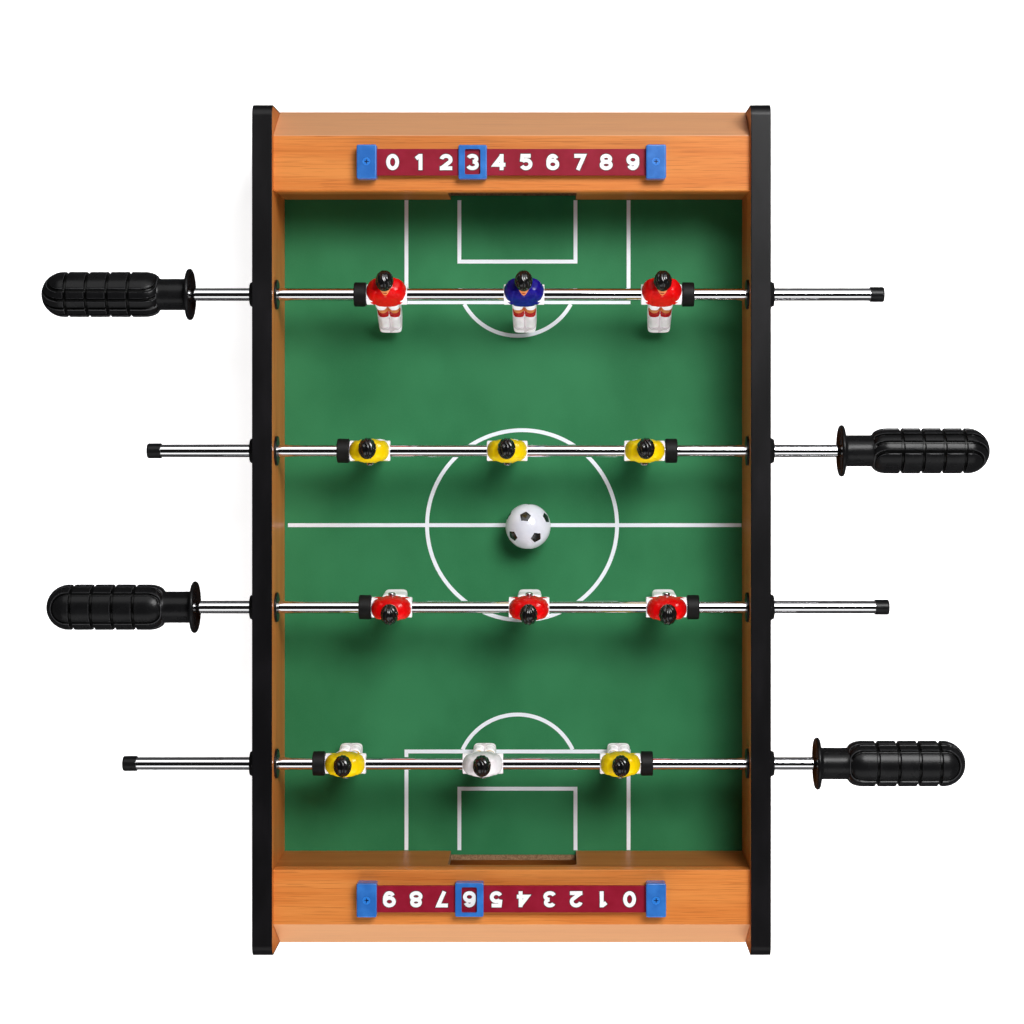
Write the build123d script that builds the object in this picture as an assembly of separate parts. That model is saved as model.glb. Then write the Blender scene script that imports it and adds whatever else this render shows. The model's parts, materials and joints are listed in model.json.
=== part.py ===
"""Tabletop foosball: a wooden playing box with four player rods, two score counters and a ball.

Millimetres, +Z up. The origin is the centre of the table's footprint, on the surface that it stands on.
X runs along the rods, Y runs from goal to goal. +Y is the far end, -X is the left side.
"""

import os
from collections import namedtuple

from build123d import *

# Table box
TABLE_LENGTH = 510.0
TABLE_WIDTH = 310.0
TABLE_TOP = 100.0
FOOT_HEIGHT = 5.0
FOOT_RADIUS = 5.6
FOOT_INSET = 20.0
PANEL_THICKNESS = 12.0
BAND_THICKNESS = 0.8
PANEL_CORNER_RADIUS = 7.0

# Playing field
FIELD_TOP = 41.0
SHEET_THICKNESS = 0.3
FIELD_BOARD_THICKNESS = 6.0
FIELD_HALF_LENGTH = 203.5
SHEET_OVERRUN = 2.5

# Ends of the box
GOAL_WALL_THICKNESS = 6.0
GOAL_MOUTH_WIDTH = 78.0
GOAL_MOUTH_TOP = 81.6
GOAL_CORNER_RADIUS = 3.0
TOP_BOARD_THICKNESS = 9.0
TOP_BOARD_TOP = 95.5
TOP_BOARD_WIDTH = 33.0
SLOPE_FOOT_Z = 64.0
END_BOARD_THICKNESS = 6.0
POCKET_FLOOR_TOP = 16.0
POCKET_FLOOR_THICKNESS = 4.0
OUTLET_WIDTH = 70.0
OUTLET_BOTTOM = 17.0
OUTLET_TOP = 50.0
OUTLET_CORNER_RADIUS = 6.0

# Score counters
COUNTER_OFFSET = 16.5
STRIP_WIDTH = 15.7
STRIP_THICKNESS = 2.5
STRIP_BOTTOM = 98.0
STRIP_HALF_LENGTH = 83.5
BRACKET_INNER_X = 80.2
BRACKET_LENGTH = 12.0
BRACKET_WIDTH = 20.3
BRACKET_HEIGHT = 8.5
BRACKET_FIT = 0.05
SLIDER_LENGTH = 17.0
SLIDER_WIDTH = 20.2
SLIDER_BOTTOM = 96.0
SLIDER_TOP = 102.6
SLIDER_GAP = 0.3
WINDOW_LENGTH = 9.2
WINDOW_WIDTH = 15.2
FAR_SLIDER_X = -23.1
NEAR_SLIDER_X = -25.1

# Rods
ROD_HEIGHT = 83.0
ROD_PITCH = 94.6
TUBE_RADIUS = 3.8
TUBE_WALL = 0.9
FIT_GAP = 0.02
RUNNING_GAP = 0.07
CAP_END = 217.7
CAP_LENGTH = 8.3
CAP_RADIUS = 4.55
CAP_END_WALL = 1.5
BUMPER_RADIUS = 7.35
BUMPER_LENGTH = 7.2
BUMPER_GAP = 0.3

# Rod bushings
BUSHING_FLANGE_RADIUS = 9.0
BUSHING_FLANGE_THICKNESS = 1.5
BUSHING_SLEEVE_RADIUS = 5.8
PANEL_HOLE_RADIUS = 6.0
COLLAR_THICKNESS = 3.3
COLLAR_RADIUS = 8.7
COLLAR_NOSE_RADIUS = 7.0

# Handles
HANDLE_TIP = 291.8
GRIP_LENGTH = 71.0
GRIP_RADIUS = 13.7
NECK_DOME = 9.0
NECK_RADIUS = 9.45
NECK_END = 88.0
HANDLE_LENGTH = 91.0
FLANGE_RADIUS = 15.6
FLANGE_DISH = 1.8
HANDLE_BORE_DEPTH = 66.0
FIRST_RING = 16.3
RING_PITCH = 12.6
RING_COUNT = 4
GROOVE_WIDTH = 2.0
GROOVE_DEPTH = 1.4
GROOVE_ANGLES = (40, 65, 90, 115, 140)

# Players, measured from the rod axis
PLAYER_PITCH = 83.0
HUB_RADIUS = 6.2
HUB_LENGTH = 24.5
HEAD_HALF_WIDTH = 5.1
HEAD_HALF_DEPTH = 6.1
HEAD_HALF_HEIGHT = 6.3
HEAD_HEIGHT = 19.7
HEAD_LEAN = 1.8
FOOT_DEPTH_BELOW = 38.5
FOOT_BLOCK_TOP = 16.0
FOOT_WIDTH = 14.4
FOOT_TIP_WIDTH = 13.0
SLEEVE_X = 8.7
SLEEVE_RADIUS = 3.4
SCREW_HEAD_SEAT = 8.8
PLAYER_SCREW_RADIUS = 1.1
PLAYER_SCREW_HEAD_RADIUS = 2.2
PLAYER_SCREW_HEAD_HEIGHT = 1.6

# Ball
BALL_RADIUS = 14.0
BALL_X = 9.3
BALL_LIFT = 0.3

# Wood screws
WOOD_SCREW_RADIUS = 1.3
WOOD_SCREW_HEAD_RADIUS = 3.0
WOOD_SCREW_HEAD_HEIGHT = 1.7
PANEL_SCREW_LENGTH = 28.0
BRACKET_SCREW_LENGTH = 13.0
BRACKET_SCREW_HEAD_RADIUS = 2.4
SCREW_HOLE_GAP = 0.1

# Worked-out sizes
HALF_WIDTH = TABLE_WIDTH / 2
HALF_LENGTH = TABLE_LENGTH / 2
INNER_X = HALF_WIDTH - PANEL_THICKNESS
WALL_OUTER_Y = FIELD_HALF_LENGTH + GOAL_WALL_THICKNESS
TOP_BOARD_OUTER_Y = FIELD_HALF_LENGTH + TOP_BOARD_WIDTH
TOP_BOARD_BOTTOM = TOP_BOARD_TOP - TOP_BOARD_THICKNESS
FIELD_BOARD_TOP = FIELD_TOP - SHEET_THICKNESS
FIELD_BOARD_BOTTOM = FIELD_BOARD_TOP - FIELD_BOARD_THICKNESS
END_BOARD_INNER_Y = HALF_LENGTH - END_BOARD_THICKNESS
END_BOARD_TOP = SLOPE_FOOT_Z - 3.0
COUNTER_Y = FIELD_HALF_LENGTH + COUNTER_OFFSET
BRACKET_CENTRE_X = BRACKET_INNER_X + BRACKET_LENGTH / 2

Rod = namedtuple("Rod", "name y side offset tilt front handle_turn players")

# side is +1 where the handle is on the right, offset is how far the rod is slid to the right,
# tilt turns the rod about +X, and front is the way along Y that the players face.
RODS = (
    Rod("red_defence", 1.5 * ROD_PITCH, -1, 7.3, -26, -1, -47, ("left", "keeper", "right")),
    Rod("yellow_attack", 0.5 * ROD_PITCH, 1, -2.9, 0, 1, 41, ("left", "middle", "right")),
    Rod("red_attack", -0.5 * ROD_PITCH, -1, 10.3, 2.5, -1, 0, ("left", "middle", "right")),
    Rod("yellow_defence", -1.5 * ROD_PITCH, 1, -17.6, 0, 1, 0, ("left", "keeper", "right")),
)

# Where the screws enter each side panel, as (Y, Z), at the far end; the near end mirrors them.
PANEL_SCREWS_AT = (
    (FIELD_HALF_LENGTH + 15.0, TOP_BOARD_BOTTOM + TOP_BOARD_THICKNESS / 2),
    (END_BOARD_INNER_Y + 1.8, 32.0),
    (FIELD_HALF_LENGTH + 24.0, POCKET_FLOOR_TOP - POCKET_FLOOR_THICKNESS / 2),
    (95.0, FIELD_BOARD_BOTTOM + FIELD_BOARD_THICKNESS / 2),
)


def block(x0, x1, y0, y1, z0, z1):
    """A box between two corners."""
    centre = Pos((x0 + x1) / 2, (y0 + y1) / 2, (z0 + z1) / 2)
    return centre * Box(abs(x1 - x0), abs(y1 - y0), abs(z1 - z0))


def round_bar(radius, x0, x1):
    """A cylinder along the X axis."""
    return Pos((x0 + x1) / 2, 0, 0) * Rot(0, 90, 0) * Cylinder(radius, abs(x1 - x0))


def board(outline, x0, x1):
    """A board whose cross-section is an outline of (Y, Z) points, running from x0 to x1."""
    section = Plane.YZ.offset(x0) * make_face(Polyline(*outline, close=True))
    return extrude(section, amount=x1 - x0)


def at_far_end(shape, end):
    """A piece made for the far end, turned half round for the near end when end is -1."""
    return shape if end > 0 else Rot(0, 0, 180) * shape


def wood_screw(length, head_radius):
    """A countersunk cross-head screw pointing down, with its head flush at the origin."""
    head = Cone(WOOD_SCREW_RADIUS, head_radius, WOOD_SCREW_HEAD_HEIGHT)
    head = Pos(0, 0, -WOOD_SCREW_HEAD_HEIGHT / 2) * head
    shank_length = length - WOOD_SCREW_HEAD_HEIGHT
    shank = Cylinder(WOOD_SCREW_RADIUS, shank_length)
    shank = Pos(0, 0, -WOOD_SCREW_HEAD_HEIGHT - shank_length / 2) * shank
    recess = Box(head_radius * 1.1, 0.6, 1.6) + Box(0.6, head_radius * 1.1, 1.6)
    return head + shank - recess


def screw_hole(length, head_radius):
    """The hole that a wood screw of that size leaves, a little larger all round."""
    gap = SCREW_HOLE_GAP
    head = Cone(WOOD_SCREW_RADIUS + gap, head_radius + gap, WOOD_SCREW_HEAD_HEIGHT)
    head = Pos(0, 0, -WOOD_SCREW_HEAD_HEIGHT / 2) * head
    shank = Pos(0, 0, -length / 2) * Cylinder(WOOD_SCREW_RADIUS + gap, length + gap)
    return head + shank


def panel_screw_places():
    """Places of all screws through the side panels: they point inwards from the outer faces."""
    places = []
    for side in (-1, 1):
        for y, z in PANEL_SCREWS_AT:
            for end in (-1, 1):
                places.append(Pos(side * HALF_WIDTH, end * y, z) * Rot(0, 90 * side, 0))
    return places


def cut_panel_screws(shape):
    """Takes the panel screws' holes out of a board."""
    hole = screw_hole(PANEL_SCREW_LENGTH, WOOD_SCREW_HEAD_RADIUS)
    low, high = shape.bounding_box().min, shape.bounding_box().max
    for place in panel_screw_places():
        at = place.position
        if low.Y - 1 < at.Y < high.Y + 1 and low.Z - 1 < at.Z < high.Z + 1:
            shape = shape - place * hole
    return shape


def panel_outline(inset):
    """A side panel's outline seen along X: square feet corners, round top corners."""
    length = TABLE_LENGTH - 2 * inset
    height = TABLE_TOP - FOOT_HEIGHT - inset
    outline = Pos(0, FOOT_HEIGHT + height / 2) * Rectangle(length, height)
    top_corners = outline.vertices().sort_by(Axis.Y)[-2:]
    return Plane.YZ * fillet(top_corners, PANEL_CORNER_RADIUS - inset)


def side_panel(side):
    """One side of the box, with a hole for each rod's bushing."""
    x = INNER_X if side > 0 else -HALF_WIDTH
    panel = Pos(x, 0, 0) * extrude(panel_outline(BAND_THICKNESS), amount=PANEL_THICKNESS)
    for rod in RODS:
        hole = round_bar(PANEL_HOLE_RADIUS, side * (INNER_X - 1), side * (HALF_WIDTH + 1))
        panel = panel - Pos(0, rod.y, ROD_HEIGHT) * hole
    return cut_panel_screws(panel)


def edge_band(side):
    """The plastic edging over a side panel's ends and top."""
    x = INNER_X if side > 0 else -HALF_WIDTH
    ring = panel_outline(0) - panel_outline(BAND_THICKNESS)
    return Pos(x, 0, 0) * extrude(ring, amount=PANEL_THICKNESS)


def playfield_board():
    half = WALL_OUTER_Y
    bed = block(-INNER_X, INNER_X, -half, half, FIELD_BOARD_BOTTOM, FIELD_BOARD_TOP)
    return cut_panel_screws(bed)


def playfield_sheet():
    half = FIELD_HALF_LENGTH + SHEET_OVERRUN
    return block(-INNER_X, INNER_X, -half, half, FIELD_BOARD_TOP, FIELD_TOP)


def goal_mouth():
    """The cut-out for the goal: open at the bottom, with two round upper corners."""
    height = GOAL_MOUTH_TOP - FIELD_TOP
    outline = Pos(0, height / 2) * Rectangle(GOAL_MOUTH_WIDTH, height)
    outline = fillet(outline.vertices().sort_by(Axis.Y)[-2:], GOAL_CORNER_RADIUS)
    cut = extrude(Plane.XZ * outline, amount=GOAL_WALL_THICKNESS, both=True)
    return Pos(0, FIELD_HALF_LENGTH + GOAL_WALL_THICKNESS / 2, FIELD_TOP) * cut


def goal_wall():
    wall = block(-INNER_X, INNER_X, FIELD_HALF_LENGTH, WALL_OUTER_Y, FIELD_TOP, TOP_BOARD_BOTTOM)
    return wall - goal_mouth()


def slope_inner_line():
    """The two ends of the sloping board's inner face, as (Y, Z)."""
    run = HALF_LENGTH - TOP_BOARD_OUTER_Y
    drop = TOP_BOARD_TOP - SLOPE_FOOT_Z
    length = (run**2 + drop**2) ** 0.5
    inset_y = END_BOARD_THICKNESS * drop / length
    inset_z = END_BOARD_THICKNESS * run / length
    upper = (TOP_BOARD_OUTER_Y - inset_y, TOP_BOARD_TOP - inset_z)
    lower_y = upper[0] + (upper[1] - END_BOARD_TOP) * run / drop
    board_bottom_y = upper[0] + (upper[1] - TOP_BOARD_BOTTOM) * run / drop
    return upper, (lower_y, END_BOARD_TOP), (board_bottom_y, TOP_BOARD_BOTTOM)


def end_top_board():
    """The flat board over a goal, with its outer edge cut to meet the sloping board."""
    upper, _, under = slope_inner_line()
    outline = (
        (FIELD_HALF_LENGTH, TOP_BOARD_BOTTOM),
        (FIELD_HALF_LENGTH, TOP_BOARD_TOP),
        (TOP_BOARD_OUTER_Y, TOP_BOARD_TOP),
        upper,
        under,
    )
    shape = cut_panel_screws(board(outline, -INNER_X, INNER_X))
    hole = screw_hole(BRACKET_SCREW_LENGTH, BRACKET_SCREW_HEAD_RADIUS)
    for side in (-1, 1):
        shape = shape - bracket_screw_place(side) * hole
    return shape


def end_slope_board():
    upper, lower, _ = slope_inner_line()
    outline = (
        (TOP_BOARD_OUTER_Y, TOP_BOARD_TOP),
        (HALF_LENGTH, SLOPE_FOOT_Z),
        (HALF_LENGTH, END_BOARD_TOP),
        lower,
        upper,
    )
    return board(outline, -INNER_X, INNER_X)


def end_lower_board():
    """The upright end of the box, with the opening that the ball is taken out of."""
    wall = block(-INNER_X, INNER_X, END_BOARD_INNER_Y, HALF_LENGTH, FOOT_HEIGHT, END_BOARD_TOP)
    outline = RectangleRounded(OUTLET_WIDTH, OUTLET_TOP - OUTLET_BOTTOM, OUTLET_CORNER_RADIUS)
    cut = extrude(Plane.XZ * outline, amount=END_BOARD_THICKNESS, both=True)
    middle_z = (OUTLET_TOP + OUTLET_BOTTOM) / 2
    wall = wall - Pos(0, HALF_LENGTH - END_BOARD_THICKNESS / 2, middle_z) * cut
    return cut_panel_screws(wall)


def pocket_floor():
    """The floor that the ball drops onto behind a goal."""
    bottom = POCKET_FLOOR_TOP - POCKET_FLOOR_THICKNESS
    floor = block(-INNER_X, INNER_X, FIELD_HALF_LENGTH, END_BOARD_INNER_Y, bottom, POCKET_FLOOR_TOP)
    return cut_panel_screws(floor)


def bracket_screw_place(side):
    return Pos(side * BRACKET_CENTRE_X, COUNTER_Y, TOP_BOARD_TOP + BRACKET_HEIGHT)


def score_strip():
    half = STRIP_WIDTH / 2
    top = STRIP_BOTTOM + STRIP_THICKNESS
    x = STRIP_HALF_LENGTH
    return block(-x, x, COUNTER_Y - half, COUNTER_Y + half, STRIP_BOTTOM, top)


def score_bracket(side):
    """A block that holds one end of the score strip above the board."""
    height = BRACKET_HEIGHT
    body = Pos(0, 0, height / 2) * Box(BRACKET_LENGTH, BRACKET_WIDTH, height)
    body = fillet(body.edges().filter_by(Axis.Z), 1.2)
    body = fillet(body.faces().sort_by(Axis.Z)[-1].edges(), 0.9)
    body = Pos(side * BRACKET_CENTRE_X, COUNTER_Y, TOP_BOARD_TOP) * body
    half = STRIP_WIDTH / 2 + BRACKET_FIT
    low = STRIP_BOTTOM - BRACKET_FIT
    high = STRIP_BOTTOM + STRIP_THICKNESS + BRACKET_FIT
    inner = side * (BRACKET_INNER_X - 1)
    outer = side * (STRIP_HALF_LENGTH + BRACKET_FIT)
    body = body - block(inner, outer, COUNTER_Y - half, COUNTER_Y + half, low, high)
    hole = screw_hole(BRACKET_SCREW_LENGTH, BRACKET_SCREW_HEAD_RADIUS)
    return body - bracket_screw_place(side) * hole


def score_slider():
    """The counter that runs along the score strip: a frame wrapped right round it, with a window."""
    height = SLIDER_TOP - SLIDER_BOTTOM
    body = Pos(0, 0, height / 2) * Box(SLIDER_LENGTH, SLIDER_WIDTH, height)
    body = fillet(body.edges().filter_by(Axis.Z), 1.0)
    body = fillet(body.faces().sort_by(Axis.Z)[-1].edges(), 0.7)
    body = Pos(0, COUNTER_Y, SLIDER_BOTTOM) * body
    half = STRIP_WIDTH / 2 + SLIDER_GAP
    low = STRIP_BOTTOM - SLIDER_GAP
    high = STRIP_BOTTOM + STRIP_THICKNESS + SLIDER_GAP
    x = SLIDER_LENGTH
    body = body - block(-x, x, COUNTER_Y - half, COUNTER_Y + half, low, high)
    window = extrude(RectangleRounded(WINDOW_LENGTH, WINDOW_WIDTH, 1.0), amount=SLIDER_TOP)
    return body - Pos(0, COUNTER_Y, STRIP_BOTTOM + STRIP_THICKNESS) * window


def rubber_foot():
    foot = Cone(FOOT_RADIUS - 0.6, FOOT_RADIUS, FOOT_HEIGHT)
    return Pos(0, 0, FOOT_HEIGHT / 2) * foot


def rod_bushing(side):
    """A flanged plastic sleeve pushed through the side panel from inside."""
    inner = INNER_X - BUSHING_FLANGE_THICKNESS
    flange = round_bar(BUSHING_FLANGE_RADIUS, inner, INNER_X)
    sleeve = round_bar(BUSHING_SLEEVE_RADIUS, inner, HALF_WIDTH + COLLAR_THICKNESS - 0.5)
    bore = round_bar(TUBE_RADIUS + RUNNING_GAP, inner - 1, HALF_WIDTH + COLLAR_THICKNESS)
    shape = flange + sleeve - bore
    rim = shape.faces().sort_by(Axis.X)[0].edges().sort_by(SortBy.RADIUS)[-1]
    shape = fillet(rim, 0.6)
    return shape if side > 0 else Rot(0, 0, 180) * shape


def bushing_collar(side):
    """The tapered ring that locks a bushing on the outside of the panel."""
    taper = Rot(0, 90, 0) * Cone(COLLAR_RADIUS, COLLAR_NOSE_RADIUS, COLLAR_THICKNESS)
    taper = Pos(HALF_WIDTH + COLLAR_THICKNESS / 2, 0, 0) * taper
    bore = round_bar(BUSHING_SLEEVE_RADIUS + FIT_GAP, HALF_WIDTH - 1, HALF_WIDTH + COLLAR_THICKNESS + 1)
    shape = taper - bore
    return shape if side > 0 else Rot(0, 0, 180) * shape


def rod_tube(rod):
    """A hollow steel tube with a small hole in its back for each player's screw."""
    cap_end = -rod.side * (CAP_END - CAP_END_WALL)
    handle_end = rod.side * (HANDLE_TIP - HANDLE_LENGTH + HANDLE_BORE_DEPTH - 1)
    tube = round_bar(TUBE_RADIUS, cap_end, handle_end)
    tube = tube - round_bar(TUBE_RADIUS - TUBE_WALL, cap_end * 1.1, handle_end * 1.1)
    back = -rod.front
    for x in (-PLAYER_PITCH, 0, PLAYER_PITCH):
        hole = Rot(90, 0, 0) * Cylinder(PLAYER_SCREW_RADIUS + 0.05, TUBE_RADIUS)
        tube = tube - Pos(x, back * TUBE_RADIUS, 0) * hole
    return tube


def end_cap(side):
    """The plastic cap over the rod's free end."""
    outer = CAP_END
    inner = CAP_END - CAP_LENGTH
    cap = round_bar(CAP_RADIUS, inner, outer)
    cap = fillet(cap.faces().sort_by(Axis.X)[-1].edges(), 1.0)
    cap = cap - round_bar(TUBE_RADIUS + FIT_GAP, inner - 1, outer - CAP_END_WALL)
    return Rot(0, 0, 180) * cap if side > 0 else cap


def bumper(side):
    """A rubber ring beside an outer player, which meets the bushing at the end of the rod's travel."""
    inner = PLAYER_PITCH + HUB_LENGTH / 2 + BUMPER_GAP
    ring = round_bar(BUMPER_RADIUS, inner, inner + BUMPER_LENGTH)
    ring = fillet(ring.edges().filter_by(GeomType.CIRCLE), 0.7)
    ring = ring - round_bar(TUBE_RADIUS + RUNNING_GAP, inner - 1, inner + BUMPER_LENGTH + 1)
    return ring if side > 0 else Rot(0, 0, 180) * ring


def handle_profile():
    """Half of the handle's outline, as distance from its tip and radius."""
    tip = CenterArc((GRIP_RADIUS, 0), GRIP_RADIUS, 90, 90)
    grip = Line((GRIP_RADIUS, GRIP_RADIUS), (GRIP_LENGTH - NECK_DOME, GRIP_RADIUS))
    drop = GRIP_RADIUS - NECK_RADIUS
    dome_centre = (GRIP_LENGTH - NECK_DOME, NECK_RADIUS)
    dome = EllipticalCenterArc(dome_centre, NECK_DOME, drop, 0, arc_size=90)
    rest = Polyline(
        (GRIP_LENGTH, NECK_RADIUS),
        (NECK_END - 0.5, NECK_RADIUS),
        (NECK_END + 0.6, FLANGE_RADIUS - 0.5),
        (NECK_END + 1.4, FLANGE_RADIUS),
        (HANDLE_LENGTH - 0.6, FLANGE_RADIUS),
        (HANDLE_LENGTH, FLANGE_RADIUS - 0.7),
        (HANDLE_LENGTH, FLANGE_RADIUS - 1.4),
        (HANDLE_LENGTH - FLANGE_DISH, NECK_RADIUS),
        (HANDLE_LENGTH - FLANGE_DISH, 0),
        (0, 0),
    )
    return make_face([tip, grip, dome, rest])


def handle(side):
    """The plastic hand grip, with ring grooves and lengthwise grooves."""
    shape = revolve(handle_profile(), Axis.X)
    floor = GRIP_RADIUS - GROOVE_DEPTH
    for ring in range(RING_COUNT):
        x = FIRST_RING + ring * RING_PITCH
        outer = round_bar(GRIP_RADIUS + 1, x - GROOVE_WIDTH / 2, x + GROOVE_WIDTH / 2)
        shape = shape - (outer - round_bar(floor, x - GROOVE_WIDTH, x + GROOVE_WIDTH))
    groove = block(2, GRIP_LENGTH - 2, -GROOVE_WIDTH / 2, GROOVE_WIDTH / 2, floor, GRIP_RADIUS + 1)
    for angle in GROOVE_ANGLES:
        for mirrored in (angle, -angle):
            shape = shape - Rot(mirrored, 0, 0) * groove
    bore = round_bar(TUBE_RADIUS + FIT_GAP, HANDLE_LENGTH - HANDLE_BORE_DEPTH, HANDLE_LENGTH + 1)
    shape = Pos(-HANDLE_TIP, 0, 0) * (shape - bore)
    return shape if side < 0 else Rot(0, 0, 180) * shape


def loft_sections(sections):
    """A closed form through rounded rectangles given as (z, width, depth, corner, y)."""
    faces = [
        Pos(0, y, z) * RectangleRounded(width, depth, corner)
        for z, width, depth, corner, y in sections
    ]
    return loft(faces)


def capsule(start, end, radius):
    """A round bar with round ends between two points."""
    start, end = Vector(*start), Vector(*end)
    along = end - start
    place = Plane(origin=(start + end) * 0.5, z_dir=along)
    bar = place * Cylinder(radius, along.length)
    return bar + Pos(*start) * Sphere(radius) + Pos(*end) * Sphere(radius)


def player():
    """One moulded player round the rod's axis, facing +Y, with its feet down."""
    torso = loft_sections(
        (
            (-3.2, 17.6, 13.6, 4.5, 0),
            (4.0, 18.6, 15.0, 5.5, 0.2),
            (10.0, 20.0, 13.6, 5.5, 0.2),
            (14.4, 13.5, 8.6, 4.0, 0),
        )
    )
    shorts = loft_sections(((-9.0, 15.6, 12.4, 4.0, 0.3), (-3.0, 17.0, 13.2, 4.5, 0)))
    neck = Pos(0, 0.8, 15) * Cylinder(3.2, 6)
    head = scale(Sphere(1), by=(HEAD_HALF_WIDTH, HEAD_HALF_DEPTH, HEAD_HALF_HEIGHT))
    head = Pos(0, HEAD_LEAN, HEAD_HEIGHT) * head
    foot_block = loft_sections(
        (
            (-FOOT_DEPTH_BELOW, FOOT_TIP_WIDTH, 12.6, 1.6, 0.2),
            (-24.0, FOOT_WIDTH, 11.6, 2.0, -0.8),
            (-FOOT_BLOCK_TOP, FOOT_WIDTH, 8.0, 2.0, -1.6),
        )
    )
    shape = torso + shorts + neck + head + foot_block
    for side in (-1, 1):
        shape += capsule((side * (SLEEVE_X - 1.0), 0.3, 9.8), (side * SLEEVE_X, 0.5, 4.2), SLEEVE_RADIUS)
        shape += capsule((side * 3.6, 0.6, -8.0), (side * 3.5, 0.6, -23.0), 3.3)
        shape += capsule((side * 3.4, 3.4, -24.0), (side * 3.2, 3.6, -35.0), 3.1)
    shape += round_bar(HUB_RADIUS, -HUB_LENGTH / 2, HUB_LENGTH / 2)
    shape -= round_bar(TUBE_RADIUS + FIT_GAP, -HUB_LENGTH, HUB_LENGTH)
    head_seat = SCREW_HEAD_SEAT - PLAYER_SCREW_HEAD_HEIGHT
    well = Rot(90, 0, 0) * Cylinder(PLAYER_SCREW_HEAD_RADIUS + 0.2, 6)
    shape -= Pos(0, -head_seat - 3, 0) * well
    shank_hole = Rot(90, 0, 0) * Cylinder(PLAYER_SCREW_RADIUS + 0.05, head_seat)
    return shape - Pos(0, -head_seat / 2, 0) * shank_hole


def player_screw():
    """The small pan-head screw that pins a player to the tube from behind."""
    head_seat = SCREW_HEAD_SEAT - PLAYER_SCREW_HEAD_HEIGHT
    head = Cylinder(PLAYER_SCREW_HEAD_RADIUS, PLAYER_SCREW_HEAD_HEIGHT)
    head = fillet(head.faces().sort_by(Axis.Z)[-1].edges(), 0.6)
    head = head - Pos(0, 0, PLAYER_SCREW_HEAD_HEIGHT / 2) * (Box(2.6, 0.5, 1.2) + Box(0.5, 2.6, 1.2))
    head = Pos(0, 0, head_seat + PLAYER_SCREW_HEAD_HEIGHT / 2) * head
    tip = TUBE_RADIUS - TUBE_WALL - 1.5
    shank = Pos(0, 0, (head_seat + tip) / 2) * Cylinder(PLAYER_SCREW_RADIUS, head_seat - tip)
    return Rot(90, 0, 0) * (head + shank)


def save(name, *shapes):
    """Writes one node: a single solid, or a group of separate solids."""
    shape = shapes[0] if len(shapes) == 1 else Compound(children=list(shapes))
    export_step(shape, f"parts/{name}.step")


def save_box():
    for side, name in ((-1, "left"), (1, "right")):
        save(f"side_panel_{name}", side_panel(side))
        save(f"edge_band_{name}", edge_band(side))
    save("playfield_board", playfield_board())
    save("playfield_sheet", playfield_sheet())
    for end, name in ((1, "far"), (-1, "near")):
        save(f"goal_wall_{name}", at_far_end(goal_wall(), end))
        save(f"end_top_board_{name}", at_far_end(end_top_board(), end))
        save(f"end_slope_board_{name}", at_far_end(end_slope_board(), end))
        save(f"end_lower_board_{name}", at_far_end(end_lower_board(), end))
        save(f"pocket_floor_{name}", at_far_end(pocket_floor(), end))
    screw = wood_screw(PANEL_SCREW_LENGTH, WOOD_SCREW_HEAD_RADIUS)
    save("panel_screws", *[place * screw for place in panel_screw_places()])
    feet = []
    for x in (-1, 1):
        for y in (-1, 1):
            place = Pos(x * (HALF_WIDTH - PANEL_THICKNESS / 2), y * (HALF_LENGTH - FOOT_INSET), 0)
            feet.append(place * rubber_foot())
    save("rubber_feet", *feet)


def save_counters():
    screws = []
    for end, name, x in ((1, "far", FAR_SLIDER_X), (-1, "near", NEAR_SLIDER_X)):
        save(f"score_strip_{name}", at_far_end(score_strip(), end))
        brackets = [at_far_end(score_bracket(side), end) for side in (-1, 1)]
        save(f"score_brackets_{name}", *brackets)
        save(f"score_slider_{name}", Pos(x, 0, 0) * at_far_end(score_slider(), end))
        screw = wood_screw(BRACKET_SCREW_LENGTH, BRACKET_SCREW_HEAD_RADIUS)
        screws += [at_far_end(bracket_screw_place(side) * screw, end) for side in (-1, 1)]
    save("score_bracket_screws", *screws)


def save_bushings():
    bushings, collars = [], []
    for rod in RODS:
        for side in (-1, 1):
            place = Pos(0, rod.y, ROD_HEIGHT)
            bushings.append(place * rod_bushing(side))
            collars.append(place * bushing_collar(side))
    save("rod_bushings", *bushings)
    save("bushing_collars", *collars)


def save_rod(rod):
    place = Pos(rod.offset, rod.y, ROD_HEIGHT) * Rot(rod.tilt, 0, 0)
    facing = Rot(0, 0, 0 if rod.front > 0 else 180)
    save(f"{rod.name}_tube", place * rod_tube(rod))
    save(f"{rod.name}_end_cap", place * end_cap(rod.side))
    save(f"{rod.name}_bumpers", place * bumper(-1), place * bumper(1))
    turn = Pos(rod.offset, rod.y, ROD_HEIGHT) * Rot(rod.handle_turn, 0, 0)
    save(f"{rod.name}_handle", turn * handle(rod.side))
    screws = []
    for spot, label in zip((-1, 0, 1), rod.players):
        at = place * Pos(spot * PLAYER_PITCH, 0, 0) * facing
        save(f"{rod.name}_player_{label}", at * player())
        screws.append(at * player_screw())
    save(f"{rod.name}_player_screws", *screws)


def save_ball():
    save("ball", Pos(BALL_X, 0, FIELD_TOP + BALL_LIFT + BALL_RADIUS) * Sphere(BALL_RADIUS))


os.makedirs("parts", exist_ok=True)
save_box()
save_counters()
save_bushings()
for rod in RODS:
    save_rod(rod)
save_ball()
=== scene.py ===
"""Looks of the tabletop foosball: wood, print, moulded players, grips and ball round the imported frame.

Blender works in metres. Sizes below are in millimetres and are turned to metres by MM or by a matrix.
"""

import json
import math

import bmesh
import bpy
import numpy as np
from mathutils import Matrix, Vector
from mathutils.kdtree import KDTree


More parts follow.
